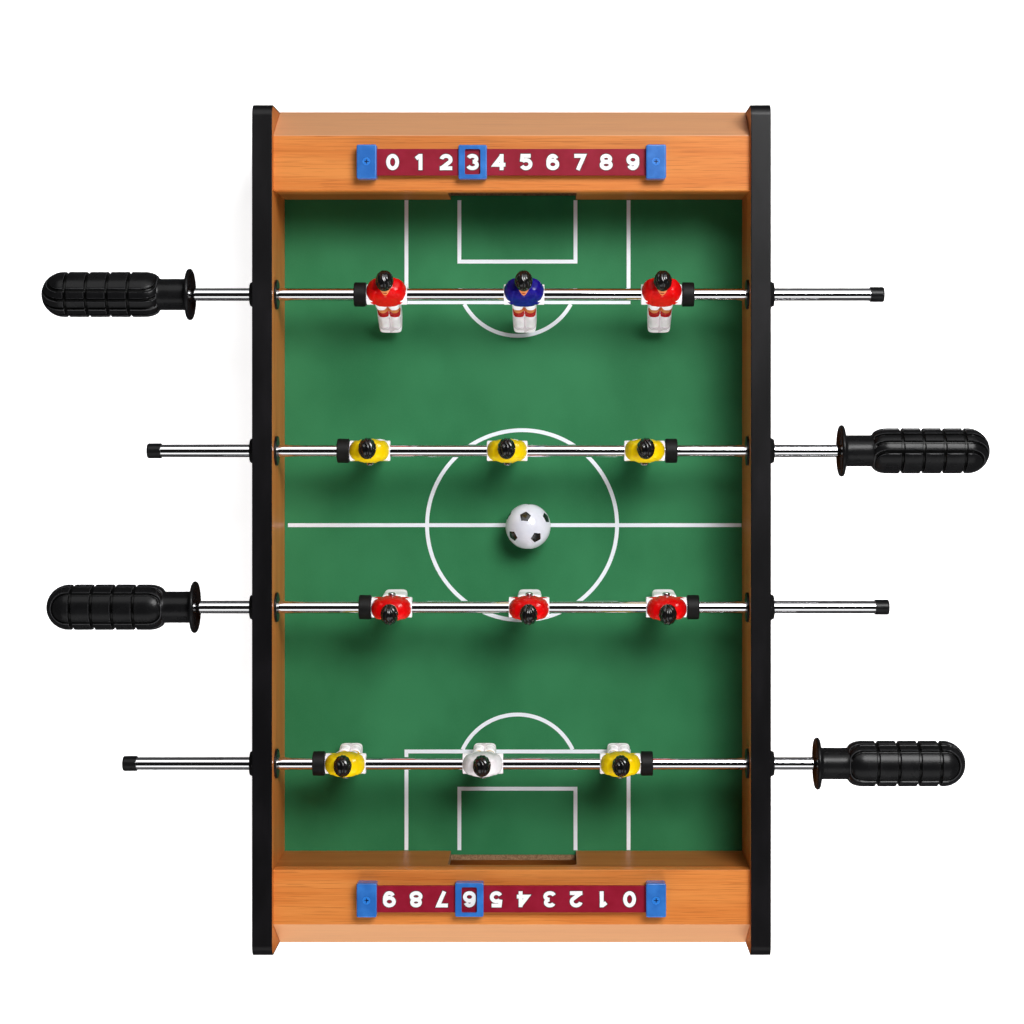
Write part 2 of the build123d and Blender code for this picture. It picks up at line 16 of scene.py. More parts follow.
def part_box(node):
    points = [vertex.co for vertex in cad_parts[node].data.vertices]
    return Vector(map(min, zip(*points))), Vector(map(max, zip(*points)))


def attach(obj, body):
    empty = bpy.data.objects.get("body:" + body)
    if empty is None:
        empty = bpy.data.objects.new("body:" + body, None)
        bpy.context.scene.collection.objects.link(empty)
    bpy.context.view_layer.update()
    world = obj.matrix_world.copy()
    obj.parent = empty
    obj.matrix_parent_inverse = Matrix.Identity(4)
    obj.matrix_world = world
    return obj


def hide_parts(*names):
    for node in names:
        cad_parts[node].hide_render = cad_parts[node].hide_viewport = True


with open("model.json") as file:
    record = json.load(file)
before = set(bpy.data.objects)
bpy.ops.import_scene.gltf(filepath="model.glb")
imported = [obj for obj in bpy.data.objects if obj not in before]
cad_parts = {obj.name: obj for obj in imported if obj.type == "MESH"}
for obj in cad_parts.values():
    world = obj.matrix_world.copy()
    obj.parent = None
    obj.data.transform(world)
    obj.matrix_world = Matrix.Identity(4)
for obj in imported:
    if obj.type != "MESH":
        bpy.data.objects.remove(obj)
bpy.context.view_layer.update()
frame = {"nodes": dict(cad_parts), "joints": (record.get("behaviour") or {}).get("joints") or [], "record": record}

MM = 0.001

# Camera, in metres
CAMERA_PLACE = (0.026, 0.072, 1.350)
CAMERA_LENS = 73.6
CAMERA_SENSOR = 36
CAMERA_SHIFT = (-0.042, -0.0996)

# Lamps, in metres and watts, and the surroundings' brightness
KEY_PLACE = (0.66, 0.95, 1.7)
KEY_SIZE = (1.0, 0.8)
KEY_POWER = 41
PANEL_PLACE = (0.1, 1.5, 1.35)
PANEL_SIZE = (2.4, 1.5)
PANEL_POWER = 20
FILL_PLACE = (0.1, -1.4, 1.35)
FILL_SIZE = (2.4, 1.0)
FILL_POWER = 9
FRONT_PLACE = (0.15, -1.9, 0.5)
FRONT_SIZE = (2.2, 0.5)
FRONT_POWER = 36
SKY_ZENITH = 0.01
SKY_HORIZON = 0.14
SKY_BACKDROP = 0.95
FLOOR_GLOW = 0.8
FLOOR_RADIUS = 1.5

# How each rod stands at rest: its players' tilt and the way they face, and its handle's turn
RODS = {
    "red_defence": {"tilt": -26, "front": -1, "handle_turn": -47, "team": "red"},
    "yellow_attack": {"tilt": 0, "front": 1, "handle_turn": 41, "team": "yellow"},
    "red_attack": {"tilt": 2.5, "front": -1, "handle_turn": 0, "team": "red"},
    "yellow_defence": {"tilt": 0, "front": 1, "handle_turn": 0, "team": "yellow"},
}
KEEPER_SLOT = {"red": "keeper_blue", "yellow": "keeper_white"}
ENDS = ("far", "near")
SIDES = ("left", "right")

# Board edges
BOARD_EASING = 0.45
BAND_EASING = 0.35
PANEL_EASING = 0.2
SHEET_EASING = 0.05
EASING_STEPS = 3
FLAT_DEGREES = 0.7
CORNER_DEGREES = 30
HARDWARE_REACH = 1.3
GOAL_HALF_WIDTH = 39.0
GOAL_MOUTH_TOP = 81.6
OUTLET_HALF_WIDTH = 35.0
OUTLET_BOTTOM = 17.0
OUTLET_TOP = 50.0
BARE_MARGIN = 0.6
UNDERSIDE_MARGIN = 0.3
GOAL_WALL_OUTER_Y = 209.4
PANEL_BOTTOM = 5.0

# Field print
LINE_WIDTH = 2.4
LINE_HEIGHT = 0.05
LINE_LAP = 0.01
CENTRE_LINE_REACH = (-141.0, 142.6)
CENTRE_CIRCLE_X = 5.4
CENTRE_CIRCLE_RADIUS = 59.4
GOAL_AREA_X = (-33.8, 38.8)
GOAL_AREA_Y = 164.8
PENALTY_AREA_X = (-66.9, 72.0)
PENALTY_AREA_Y = {"far": 139.4, "near": 141.5}
PENALTY_ARC_CENTRE = (2.6, 156.3)
PENALTY_ARC_RADIUS = 37.9

# Score digits
DIGIT_PITCH = 15.93
FIRST_DIGIT_X = {"far": -70.9, "near": 70.5}
DIGIT_HALF_WIDTH = 2.7
DIGIT_HALF_HEIGHT = 3.7
DIGIT_STROKE = 2.3
DIGIT_OUTLINE = 0.4
DIGIT_HEIGHT = 0.08
OUTLINE_HEIGHT = 0.04
STROKE_STEP = 0.004

# The bore for the tube, in handles and players
BORE_RADIUS = 3.84

# Handle
HANDLE_LENGTH = 91.0
GRIP_RADIUS = 13.7
GRIP_LENGTH = 71.0
NECK_DOME = 9.0
NECK_RADIUS = 9.45
FLANGE_START = 88.0
FLANGE_RADIUS = 15.6
FLANGE_DISH = 1.8
BORE_DEPTH = 66.0
FIRST_RING = 16.3
RING_PITCH = 12.6
RING_COUNT = 4
GROOVE_ANGLES = (40, 65, 90, 115, 140)
GROOVE_DEPTH = 1.4
GROOVE_FLOOR = 0.6
GROOVE_BEVEL = 0.62
GRIP_COLUMNS = 200
TIP_STEPS = 39
NECK_STEPS = 23
RIM_RADIUS = 1.3
RIM_HALF_THICKNESS = 1.35

# Player, from the rod's axis, facing +Y
HUB_RADIUS = 6.2
HUB_HALF_LENGTH = 12.25
HEAD_CENTRE = (0.0, 1.9, 19.45)
HEAD_RADII = (4.8, 6.0, 5.75)
HEAD_BOW = 30
EYE_X = 1.9
HAIR_THICKNESS = 0.4
LOCK_HEIGHT = 0.22
HAIRLINE_UP = -0.7
HAIRLINE_SLOPE = 0.42
HEM_Z = -3.3
SHIRT_HALF_WIDTH = 8.4
SHIRT_TOP_Z = 16.0
HUB_PAINT_X = 7.8
SLEEVE_END_Z = 2.2
NECK_Y = 0.8
COLLAR_RADIUS = 4.3
COLLAR_HALF_WIDTH = 0.6
COLLAR_DIP = 5.1
COLLAR_BULGE = 1.75
TRIM_HALF_WIDTH = 0.32
LEG_X = 3.6
KNEE_Z = -9.4
SOCK_TOP_Z = -16.6
BOOT_TOP_Z = -21.6
FOOT_BOTTOM_Z = -37.2
FIGURE_VOXEL = 0.27
FIGURE_SHARE_KEPT = 0.42
WHITE_GLOW = 0.16

# Ball
BALL_RADIUS = 14.0
PENTAGON_SHARE = 0.76
SEAM_DEPTH = 0.13
SEAM_START = 0.91
SEAM_SPAN = 0.09
PANEL_COLUMNS = 8
BALL_UP_PANEL = (-0.114, 0.486, 0.866)
BALL_NEXT_PANEL = (0.364, -0.414, 0.834)


def srgb(red, green, blue):
    """A linear colour from the 0-255 values of a screen."""
    def linear(value):
        value = value / 255
        return value / 12.92 if value <= 0.04045 else ((value + 0.055) / 1.055) ** 2.4
    return (linear(red), linear(green), linear(blue), 1.0)


# Materials


class Value:
    """A number inside a material: arithmetic on it adds Math nodes."""

    def __init__(self, tree, socket):
        self.tree = tree
        self.socket = socket

    def math(self, operation, *others):
        node = self.tree.nodes.new("ShaderNodeMath")
        node.operation = operation
        for slot, other in zip(node.inputs, (self, *others)):
            feed(self.tree, slot, other)
        return Value(self.tree, node.outputs[0])

    def __add__(self, other):
        return self.math("ADD", other)

    def __sub__(self, other):
        return self.math("SUBTRACT", other)

    def __mul__(self, other):
        return self.math("MULTIPLY", other)

    def __truediv__(self, other):
        return self.math("DIVIDE", other)

    def __abs__(self):
        return self.math("ABSOLUTE")

    def squared(self):
        return self.math("MULTIPLY", self)

    def most(self, other):
        return self.math("MAXIMUM", other)

    def step(self, low, high):
        """0 below low, 1 above high, smooth between; low may be the larger one."""
        node = self.tree.nodes.new("ShaderNodeMapRange")
        node.interpolation_type = "SMOOTHSTEP"
        feed(self.tree, node.inputs["Value"], self)
        set_inputs(node, {"From Min": low, "From Max": high})
        return Value(self.tree, node.outputs["Result"])


def set_inputs(node, values):
    """Sets inputs of a node that stay the same all over the surface."""
    for name, value in values.items():
        node.inputs[name].default_value = value


def feed(tree, slot, value):
    """Gives a node's input a constant or the output of another node."""
    if isinstance(value, Value):
        tree.links.new(value.socket, slot)
    else:
        slot.default_value = value


class Finish:
    """A node material, with short ways to add what the materials here share."""

    def __init__(self, name, metallic=0.0, coat=0.0, coat_roughness=0.1, specular=0.5):
        self.material = bpy.data.materials.new(name)
        self.material.use_nodes = True
        self.tree = self.material.node_tree
        self.shader = self.tree.nodes["Principled BSDF"]
        set_inputs(self.shader, {"Metallic": metallic, "Specular IOR Level": specular})
        set_inputs(self.shader, {"Coat Weight": coat, "Coat Roughness": coat_roughness})
        self.place = self.tree.nodes.new("ShaderNodeTexCoord").outputs["Object"]

    def stretched(self, *scale):
        """The place on the piece in millimetres, times a scale along each axis."""
        node = self.tree.nodes.new("ShaderNodeMapping")
        self.tree.links.new(self.place, node.inputs["Vector"])
        set_inputs(node, {"Scale": [share / MM for share in scale]})
        return node.outputs["Vector"]

    def noise(self, scale, detail=3.0, roughness=0.55, distortion=0.0):
        """Noise from 0 to 1, with scale features per millimetre: one number, or one for each axis."""
        node = self.tree.nodes.new("ShaderNodeTexNoise")
        self.tree.links.new(self.stretched(*np.broadcast_to(scale, 3)), node.inputs["Vector"])
        set_inputs(node, {"Scale": 1.0, "Detail": detail, "Roughness": roughness, "Distortion": distortion})
        return Value(self.tree, node.outputs["Fac"])

    def axes(self):
        """The place on the piece in millimetres as three values."""
        node = self.tree.nodes.new("ShaderNodeSeparateXYZ")
        self.tree.links.new(self.stretched(1, 1, 1), node.inputs[0])
        return [Value(self.tree, socket) for socket in node.outputs]

    def attribute(self, name):
        node = self.tree.nodes.new("ShaderNodeAttribute")
        node.attribute_name = name
        return Value(self.tree, node.outputs["Fac"])

    def mix(self, share, first, second):
        """A colour that goes from first to second as share goes from 0 to 1."""
        node = self.tree.nodes.new("ShaderNodeMix")
        node.data_type = "RGBA"
        feed(self.tree, node.inputs["Factor"], share)
        for slot, colour in ((node.inputs[6], first), (node.inputs[7], second)):
            feed(self.tree, slot, colour)
        return Value(self.tree, node.outputs[2])

    def finish(self, colour, roughness, bump=None, bump_height=0.05):
        """Joins up the shader: bump is a value from 0 to 1 that stands for bump_height millimetres."""
        feed(self.tree, self.shader.inputs["Base Color"], colour)
        feed(self.tree, self.shader.inputs["Roughness"], roughness)
        if bump is not None:
            node = self.tree.nodes.new("ShaderNodeBump")
            set_inputs(node, {"Distance": bump_height * MM})
            feed(self.tree, node.inputs["Height"], bump)
            self.tree.links.new(node.outputs["Normal"], self.shader.inputs["Normal"])
        return self.material


def wood_finish(name, along, coat, depth=1.0, pale=0.0):
    """Printed beech laminate with its grain along one axis, 0 for X or 1 for Y.

    A depth below 1 darkens the wood as painted shade, and pale is the share of a paler tone painted in as sheen.
    """
    wood = Finish(name, coat=coat, coat_roughness=0.15, specular=0.2)
    def grain(length, width, detail=4.0, distortion=0.0):
        scale = [1 / width] * 3
        scale[along] = 1 / length
        return wood.noise(scale, detail, 0.6, distortion)
    # depth below 1 darkens every tone of the wood: painted shade
    def tone(red, green, blue):
        return darker(srgb(red, green, blue), depth)
    bands = grain(210.0, 11.0, 3.0, 0.9)
    streaks = grain(85.0, 0.85, 3.0)
    fibres = grain(20.0, 0.28, 2.0)
    ticks = grain(24.0, 0.4, 1.0).step(0.6, 0.68)
    colour = wood.mix(bands.step(0.3, 0.72), tone(212, 122, 54), tone(224, 140, 69))
    colour = wood.mix(streaks.step(0.5, 0.66) * 0.3, colour, tone(176, 86, 28))
    colour = wood.mix(fibres.step(0.5, 0.8) * 0.3, colour, tone(234, 158, 82))
    colour = wood.mix(ticks * 0.36, colour, tone(142, 66, 24))
    # Painted sheen: a pale tone mixed in by the share pale
    colour = wood.mix(pale, colour, srgb(237, 190, 149))
    return wood.finish(colour, fibres * 0.16 + 0.34, streaks * 0.6 + fibres * 0.4, 0.02)


def raw_board_finish():
    """The cut edge of fibreboard: a felt of short pale and dark fibres."""
    board = Finish("raw_fibreboard", specular=0.2)
    felt = board.noise(2.2, 5.0, 0.7)
    clumps = board.noise(0.5, 2.0)
    colour = board.mix(felt.step(0.3, 0.7), srgb(104, 74, 50), srgb(176, 140, 104))
    colour = board.mix(clumps.step(0.45, 0.7) * 0.4, colour, srgb(90, 62, 42))
    return board.finish(colour, felt * 0.2 + 0.7, felt, 0.12)


def edging_finish():
    """Satin black edge banding with a faint orange-peel skin and rubbed spots."""
    band = Finish("black_edging", coat=0.05, coat_roughness=0.35, specular=0.2)
    peel = band.noise((1.1, 0.5, 1.1), 2.0)
    rub = band.noise((0.06, 0.02, 0.06), 3.0)
    colour = band.mix(rub.step(0.4, 0.75), srgb(9, 8, 10), srgb(17, 15, 18))
    return band.finish(colour, rub * 0.14 + 0.3, peel, 0.02)


def field_finish():
    """The printed green sheet: almost even, with a faint mottle and a fine print screen."""
    field = Finish("field_print", specular=0.12)
    mottle = field.noise((0.02, 0.014, 0.02), 3.0)
    screen = field.noise(2.6, 2.0)
    colour = field.mix(mottle.step(0.3, 0.7), srgb(43, 114, 71), srgb(52, 126, 81))
    colour = field.mix(screen.step(0.4, 0.75) * 0.18, colour, srgb(66, 142, 96))
    return field.finish(colour, mottle * 0.12 + 0.46, screen, 0.012)


def print_finish(name, colour, worn):
    """A layer of printed ink that is a little thin in places."""
    ink = Finish(name, specular=0.4)
    thin = ink.noise(0.9, 4.0)
    return ink.finish(ink.mix(thin.step(0.55, 0.85) * 0.5, colour, worn), thin * 0.15 + 0.4, thin, 0.01)


def plastic_finish(name, dark, light, roughness, coat=0.0, skin=0.02, specular=0.5):
    """Moulded plastic: slow colour drift, a fine skin and a little scuffing in the gloss."""
    plastic = Finish(name, coat=coat, coat_roughness=0.12, specular=specular)
    drift = plastic.noise(0.09, 3.0)
    grain = plastic.noise(1.7, 2.0)
    colour = plastic.mix(drift.step(0.35, 0.7), dark, light)
    return plastic.finish(colour, drift * 0.1 + roughness, grain, skin)


def blued_screw_finish():
    """Blue lacquer on a screw, with painted shade in its cross recess."""
    screw = Finish("blued_screw")
    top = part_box("score_bracket_screws")[1].z / MM
    speckle = screw.noise(1.7, 2.0)
    height = screw.axes()[2]
    colour = screw.mix(speckle.step(0.35, 0.7), srgb(30, 112, 206), srgb(56, 138, 226))
    # Painted shade: darker below the top of the head, in the cross recess
    colour = screw.mix(height.step(top - 0.15, top - 0.4), colour, srgb(10, 38, 96))
    return screw.finish(colour, speckle * 0.1 + 0.25, speckle, 0.01)


def grip_finish():
    """Black moulded plastic, with painted shade near black down in the grooves and a painted highlight a little
    paler along their edges.
    """
    grip = Finish("black_grip", specular=0.17)
    depth = grip.attribute("groove")
    drift = grip.noise(0.09, 3.0)
    grain = grip.noise(1.7, 2.0)
    colour = grip.mix(drift.step(0.35, 0.7), srgb(17, 17, 18), srgb(22, 22, 23))
    # Painted highlight: a paler line along the edges of the grooves
    edge = depth.step(0.01, 0.08) * depth.step(0.4, 0.2)
    colour = grip.mix(edge * 0.6, colour, srgb(74, 74, 76))
    # Painted shade: near black down in the grooves
    colour = grip.mix(depth.step(0.35, 0.6), colour, srgb(3, 3, 3))
    return grip.finish(colour, drift * 0.1 + 0.22, grain, 0.01)


def steel_finish(name, colour, roughness, stretch):
    """Drawn steel: fine lines along the bar and slightly uneven polish."""
    steel = Finish(name, metallic=1.0)
    lines = steel.noise(stretch, 4.0, 0.65)
    haze = steel.noise((0.03, 0.3, 0.3), 3.0)
    shade = steel.mix(lines.step(0.3, 0.75), colour, darker(colour, 0.93))
    return steel.finish(shade, haze * 0.03 + roughness, lines, 0.00015)


def figure_finish(name, shirt, shirt_shade, trim, sock):
    """A painted player. The paint borders are distances in millimetres kept on the mesh."""
    paint = Finish(name, coat_roughness=0.06, specular=0.22)
    def region(border):
        return paint.attribute(border).step(-0.05, 0.05)
    feed(paint.tree, paint.shader.inputs["Coat Weight"], region("hair") * 0.8 + 0.18)
    mottle = paint.noise(0.35, 3.0)
    skin = paint.mix(mottle.step(0.35, 0.7), srgb(244, 146, 84), srgb(252, 164, 104))
    eyes, lips = face_paint(*head_axes(paint))
    colour = paint.mix(eyes, skin, srgb(58, 30, 22))
    colour = paint.mix(lips, colour, srgb(168, 62, 48))
    colour = paint.mix(region("sock"), colour, paint.mix(mottle, sock, darker(sock, 0.8)))
    white = paint.mix(mottle.step(0.4, 0.8), srgb(255, 250, 255), srgb(250, 244, 248))
    colour = paint.mix(region("white"), colour, white)
    # A faint glow keeps the bare white plastic from turning grey in the box's shade
    set_inputs(paint.shader, {"Emission Color": srgb(255, 250, 255)})
    bare = region("white") * (region("shirt") * -1.0 + 1.0)
    feed(paint.tree, paint.shader.inputs["Emission Strength"], bare * WHITE_GLOW)
    # Painted shade: a grey line round the boots and between them
    colour = paint.mix(region("crease_shade") * 0.6, colour, srgb(168, 150, 156))
    colour = paint.mix(region("shirt"), colour, paint.mix(mottle.step(0.35, 0.75), shirt, shirt_shade))
    colour = paint.mix(region("collar"), colour, trim)
    colour = paint.mix(region("hair"), colour, paint.mix(mottle, srgb(7, 7, 8), srgb(16, 15, 16)))
    return paint.finish(colour, mottle * 0.1 + 0.2, paint.noise(0.9, 2.0), 0.03)


def darker(colour, share):
    return tuple(channel * share for channel in colour[:3]) + (1.0,)


def head_axes(paint):
    """The place on the head in millimetres: across, forward and up in the bowed head's own frame."""
    across, y, z = paint.axes()
    bow = math.radians(HEAD_BOW)
    y = y - HEAD_CENTRE[1]
    z = z - HEAD_CENTRE[2]
    return across, y * math.cos(bow) - z * math.sin(bow), y * math.sin(bow) + z * math.cos(bow)


def oval(across, up, half_width, half_height, border=0.12):
    """1 inside an upright oval round the origin."""
    distance = (across / half_width).squared() + (up / half_height).squared()
    return distance.step(1 + border, 1 - border)


def face_paint(across, forward, up):
    """Two calm eyes with level brows, and a closed mouth, on the front of the head."""
    side = abs(across) - EYE_X
    eyes = oval(side, up + 0.9, 0.6, 0.46)
    brows = oval(side, up - 0.5 + side.squared() * 0.12, 1.1, 0.28)
    lips = oval(across, up + 3.7 - across.squared() * 0.04, 1.3, 0.26)
    front = forward.step(2.6, 2.8)
    return eyes.most(brows) * front, lips * front


def seen_directly(tree):
    """1 for what the camera sees straight, 0 for what is seen in a reflection or only gives light."""
    return Value(tree, tree.nodes.new("ShaderNodeLightPath").outputs["Is Camera Ray"])


def floor_finish():
    """A floor that glows where the camera sees it, and is dark in reflections and as a source of light."""
    floor = Finish("studio_floor", specular=0.2)
    set_inputs(floor.shader, {"Emission Color": (1, 1, 1, 1)})
    seen = seen_directly(floor.tree)
    feed(floor.tree, floor.shader.inputs["Emission Strength"], seen * FLOOR_GLOW)
    grain = floor.noise(0.01, 2.0)
    pale = floor.mix(grain, srgb(246, 246, 247), srgb(243, 243, 245))
    return floor.finish(floor.mix(seen, srgb(70, 70, 72), pale), grain * 0.1 + 0.7)


# The side panels, goal walls and pocket floors are the same wood darkened by depth: painted shade
SHADED_PANEL_WOOD = wood_finish("panel_wood_painted_shade", 1, 0.05, 0.86)
SHADED_WALL_WOOD = wood_finish("goal_wall_wood_painted_shade", 0, 0.0, 0.55)
TOP_WOOD = wood_finish("top_board_wood", 0, 0.1)
# The slopes' pale tone is painted sheen
SLOPE_WOOD_WITH_SHEEN = wood_finish("slope_board_wood_painted_sheen", 0, 0.4, pale=0.52)
RAW_BOARD = raw_board_finish()
EDGING = edging_finish()
FIELD = field_finish()
LINE_INK = print_finish("white_line_ink", srgb(238, 243, 250), srgb(214, 232, 224))
DIGIT_INK = print_finish("white_digit_ink", srgb(246, 246, 246), srgb(228, 218, 222))
OUTLINE_INK = print_finish("dark_outline_ink", srgb(58, 14, 28), srgb(80, 20, 38))
MAROON = plastic_finish("score_maroon", srgb(136, 16, 40), srgb(146, 22, 48), 0.4, specular=0.15)
BLUE = plastic_finish("score_blue", srgb(42, 104, 184), srgb(54, 122, 204), 0.2, coat=0.35)
BLUE_STEEL = blued_screw_finish()
BLACK = plastic_finish("black_plastic", srgb(19, 19, 20), srgb(26, 26, 27), 0.24, skin=0.01, specular=0.17)
RUBBER = plastic_finish("black_rubber", srgb(10, 10, 10), srgb(17, 16, 16), 0.5, skin=0.05, specular=0.2)
GRIP = grip_finish()
CHROME = steel_finish("chrome_rod", srgb(236, 236, 238), 0.03, (0.004, 2.5, 2.5))
ZINC = steel_finish("screw_steel", srgb(222, 223, 228), 0.2, (1.2, 1.2, 1.2))
WHITE_GLOSS = plastic_finish("ball_white", srgb(228, 230, 242), srgb(238, 240, 250), 0.16, coat=0.4)
BLACK_GLOSS = plastic_finish("ball_black", srgb(12, 12, 13), srgb(22, 22, 24), 0.18, coat=0.5)
RED_SOCK = srgb(226, 34, 40)
YELLOW_SOCK = srgb(226, 180, 10)
FIGURES = {
    "player_red": figure_finish(
        "red_player", srgb(214, 5, 9), srgb(228, 10, 14), srgb(240, 130, 112), RED_SOCK
    ),
    "player_yellow": figure_finish(
        "yellow_player", srgb(238, 200, 4), srgb(246, 214, 12), srgb(250, 232, 110), YELLOW_SOCK
    ),
    "keeper_blue": figure_finish(
        "blue_keeper", srgb(20, 12, 118), srgb(28, 20, 140), srgb(112, 104, 190), RED_SOCK
    ),
    "keeper_white": figure_finish(
        "white_keeper", srgb(230, 227, 230), srgb(242, 240, 242), srgb(200, 196, 202), YELLOW_SOCK
    ),
}


# Mesh tools


def linked(name, data):
    """Makes an object and puts it into the scene."""
    item = bpy.data.objects.new(name, data)
    bpy.context.scene.collection.objects.link(item)
    return item


def new_object(name, mesh, *materials):
    """Adds a piece to the scene. A mesh's faces keep their material numbers."""
    piece = linked(name, mesh)
    for material in materials:
        mesh.materials.append(material)
    return piece


def mesh_from(name, work):
    """Turns a bmesh into a mesh with its faces pointing outwards."""
    bmesh.ops.recalc_face_normals(work, faces=work.faces)
    mesh = bpy.data.meshes.new(name)
    work.to_mesh(mesh)
    work.free()
    return mesh


def shade(piece, sharp_degrees, weighted=False):
    """Smooth shading, split at edges sharper than that."""
    mesh = piece.data
    mesh.polygons.foreach_set("use_smooth", [True] * len(mesh.polygons))
    mesh.set_sharp_from_angle(angle=math.radians(sharp_degrees))
    if weighted:
        modifier = piece.modifiers.new("even_normals", "WEIGHTED_NORMAL")
        modifier.keep_sharp = True


def grid_faces(work, rows):
    """Joins rows of vertices into quads; a row of one vertex is a pole."""
    for low, high in zip(rows, rows[1:]):
        count = max(len(low), len(high))
        for index in range(count):
            after = (index + 1) % count
            corners = [low[index % len(low)], low[after % len(low)]]
            corners += [high[after % len(high)], high[index % len(high)]]
            ring = list(dict.fromkeys(corners))
            if len(ring) > 2:
                work.faces.new(ring)


def add_lathe(work, profile, matrix, steps=48):
    """A solid turned round the X axis, from (distance along X, radius) points; it is closed by poles."""
    rows = []
    for along, radius in profile:
        turns = [2 * math.pi * step / steps for step in range(steps)] if radius > 0 else [0]
        points = [(along, radius * math.cos(turn), radius * math.sin(turn)) for turn in turns]
        rows.append([work.verts.new(matrix @ Vector(point)) for point in points])
    grid_faces(work, rows)


def place_of(rod_name, x, turn, half_turned):
    """Where a rod's piece made at the origin goes, in metres."""
    centre = rod_joint(rod_name)
    spin = Matrix.Rotation(math.radians(turn), 4, "X")
    facing = Matrix.Rotation(math.pi if half_turned else 0, 4, "Z")
    return Matrix.Translation((x, centre.y, centre.z)) @ spin @ facing


def rod_joint(rod_name):
    """A point on the rod's axis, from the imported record."""
    for joint in frame["joints"]:
        if joint["name"] == f"{rod_name}_spin":
            return Vector(joint["pos_m"])
    raise ValueError(f"no spin joint for {rod_name}")


def middle(node):
    low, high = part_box(node)
    return (low + high) / 2


# Boards


def hardware_tree():
    """Where the screws and bushings are, so that their holes keep their sharp edges."""
    points = []
    for node in ("panel_screws", "score_bracket_screws", "rod_bushings"):
        points += [vertex.co for vertex in frame["nodes"][node].data.vertices]
    tree = KDTree(len(points))
    for index, point in enumerate(points):
        tree.insert(point, index)
    tree.balance()
    return tree


HARDWARE = hardware_tree()


def eased_board(node, name, easing, *materials, raw_faces=None):
    """A board with the CAD node's shape and its sharp edges eased. raw_faces picks the faces cut bare."""
    work = bmesh.new()
    work.from_mesh(frame["nodes"][node].data)
    bmesh.ops.remove_doubles(work, verts=work.verts, dist=1e-6)
    bmesh.ops.dissolve_limit(work, angle_limit=math.radians(FLAT_DEGREES), verts=work.verts, edges=work.edges)
    corners = []
    for edge in work.edges:
        if not edge.is_manifold or edge.calc_face_angle() < math.radians(CORNER_DEGREES):
            continue
        centre = (edge.verts[0].co + edge.verts[1].co) / 2
        if HARDWARE.find(centre)[2] > HARDWARE_REACH * MM:
            corners.append(edge)
    bmesh.ops.bevel(
        work,
        geom=corners,
        offset=easing * MM,
        segments=EASING_STEPS,
        profile=0.5,
        affect="EDGES",
        clamp_overlap=False,
    )
    if raw_faces:
        for face in work.faces:
            if raw_faces(face.calc_center_median() / MM, face.normal):
                face.material_index = 1
    piece = new_object(name, mesh_from(name, work), *materials)
    shade(piece, 40, weighted=True)
    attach(piece, "root")
    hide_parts(node)
    return piece


def bare_in_goal(centre, normal):
    """True on the cut edges of a goal mouth."""
    inside = abs(centre.x) < GOAL_HALF_WIDTH + BARE_MARGIN and centre.z < GOAL_MOUTH_TOP + BARE_MARGIN
    return inside and abs(centre.y) < GOAL_WALL_OUTER_Y and abs(normal.y) < 0.5


def bare_in_outlet(centre, normal):
    """True on the cut edges of a ball outlet."""
    level = OUTLET_BOTTOM - BARE_MARGIN < centre.z < OUTLET_TOP + BARE_MARGIN
    return level and abs(centre.x) < OUTLET_HALF_WIDTH + BARE_MARGIN and abs(normal.y) < 0.5


def bare_below(centre, normal):
    """True on a side panel's underside, which stands just above the feet's base."""
    return centre.z < PANEL_BOTTOM + UNDERSIDE_MARGIN and normal.z < -0.5


def make_box():
    """The wooden box, its edging and the playing field."""
    for side in SIDES:
        node, name = f"side_panel_{side}", f"{side}_side_board"
        panel = eased_board(node, name, PANEL_EASING, SHADED_PANEL_WOOD, RAW_BOARD, raw_faces=bare_below)
        band = eased_board(f"edge_band_{side}", f"{side}_edge_band", BAND_EASING, EDGING)
    for end in ENDS:
        for part, wood, bare in (
            ("goal_wall", SHADED_WALL_WOOD, bare_in_goal),
            ("end_top_board", TOP_WOOD, None),
            ("end_slope_board", SLOPE_WOOD_WITH_SHEEN, None),
            ("end_lower_board", TOP_WOOD, bare_in_outlet),
            ("pocket_floor", SHADED_WALL_WOOD, None),
        ):
            name = f"{end}_{part}"
            board = eased_board(f"{part}_{end}", name, BOARD_EASING, wood, RAW_BOARD, raw_faces=bare)
    bed = eased_board("playfield_board", "field_bed", PANEL_EASING, RAW_BOARD)
    sheet = eased_board("playfield_sheet", "field_sheet", SHEET_EASING, FIELD)


# Field print


def add_ribbon(work, points, z, width, height, closed=False):
    """A thin flat line along points in millimetres, mitred at its corners."""
    points = [Vector(point) for point in points]
    count = len(points)
    pairs = []
    for index, point in enumerate(points):
        before = points[index - 1] if index or closed else None
        after = points[(index + 1) % count] if index < count - 1 or closed else None
        ways = []
        if before is not None:
            ways.append((point - before).normalized())
        if after is not None:
            ways.append((after - point).normalized())
        along = (ways[0] + ways[-1]).normalized()
        across = Vector((-along.y, along.x)) * (width / 2 / max(0.3, along.dot(ways[0])))
        pairs.append((point + across, point - across))
    rows = []
    for left, right in pairs:
        corners = ((left, z), (right, z), (right, z + height), (left, z + height))
        rows.append([work.verts.new((p.x * MM, p.y * MM, level * MM)) for p, level in corners])
    grid_faces(work, rows + rows[:1] if closed else rows)
    if not closed:
        work.faces.new(rows[0])
        work.faces.new(rows[-1])


def oval_points(centre, half_width, half_height, start, end, steps):
    """Points along part of an oval, between two angles in degrees."""
    points = []
    for step in range(steps + 1):
        turn = math.radians(start + (end - start) * step / steps)
        points.append((centre[0] + half_width * math.cos(turn), centre[1] + half_height * math.sin(turn)))
    return points


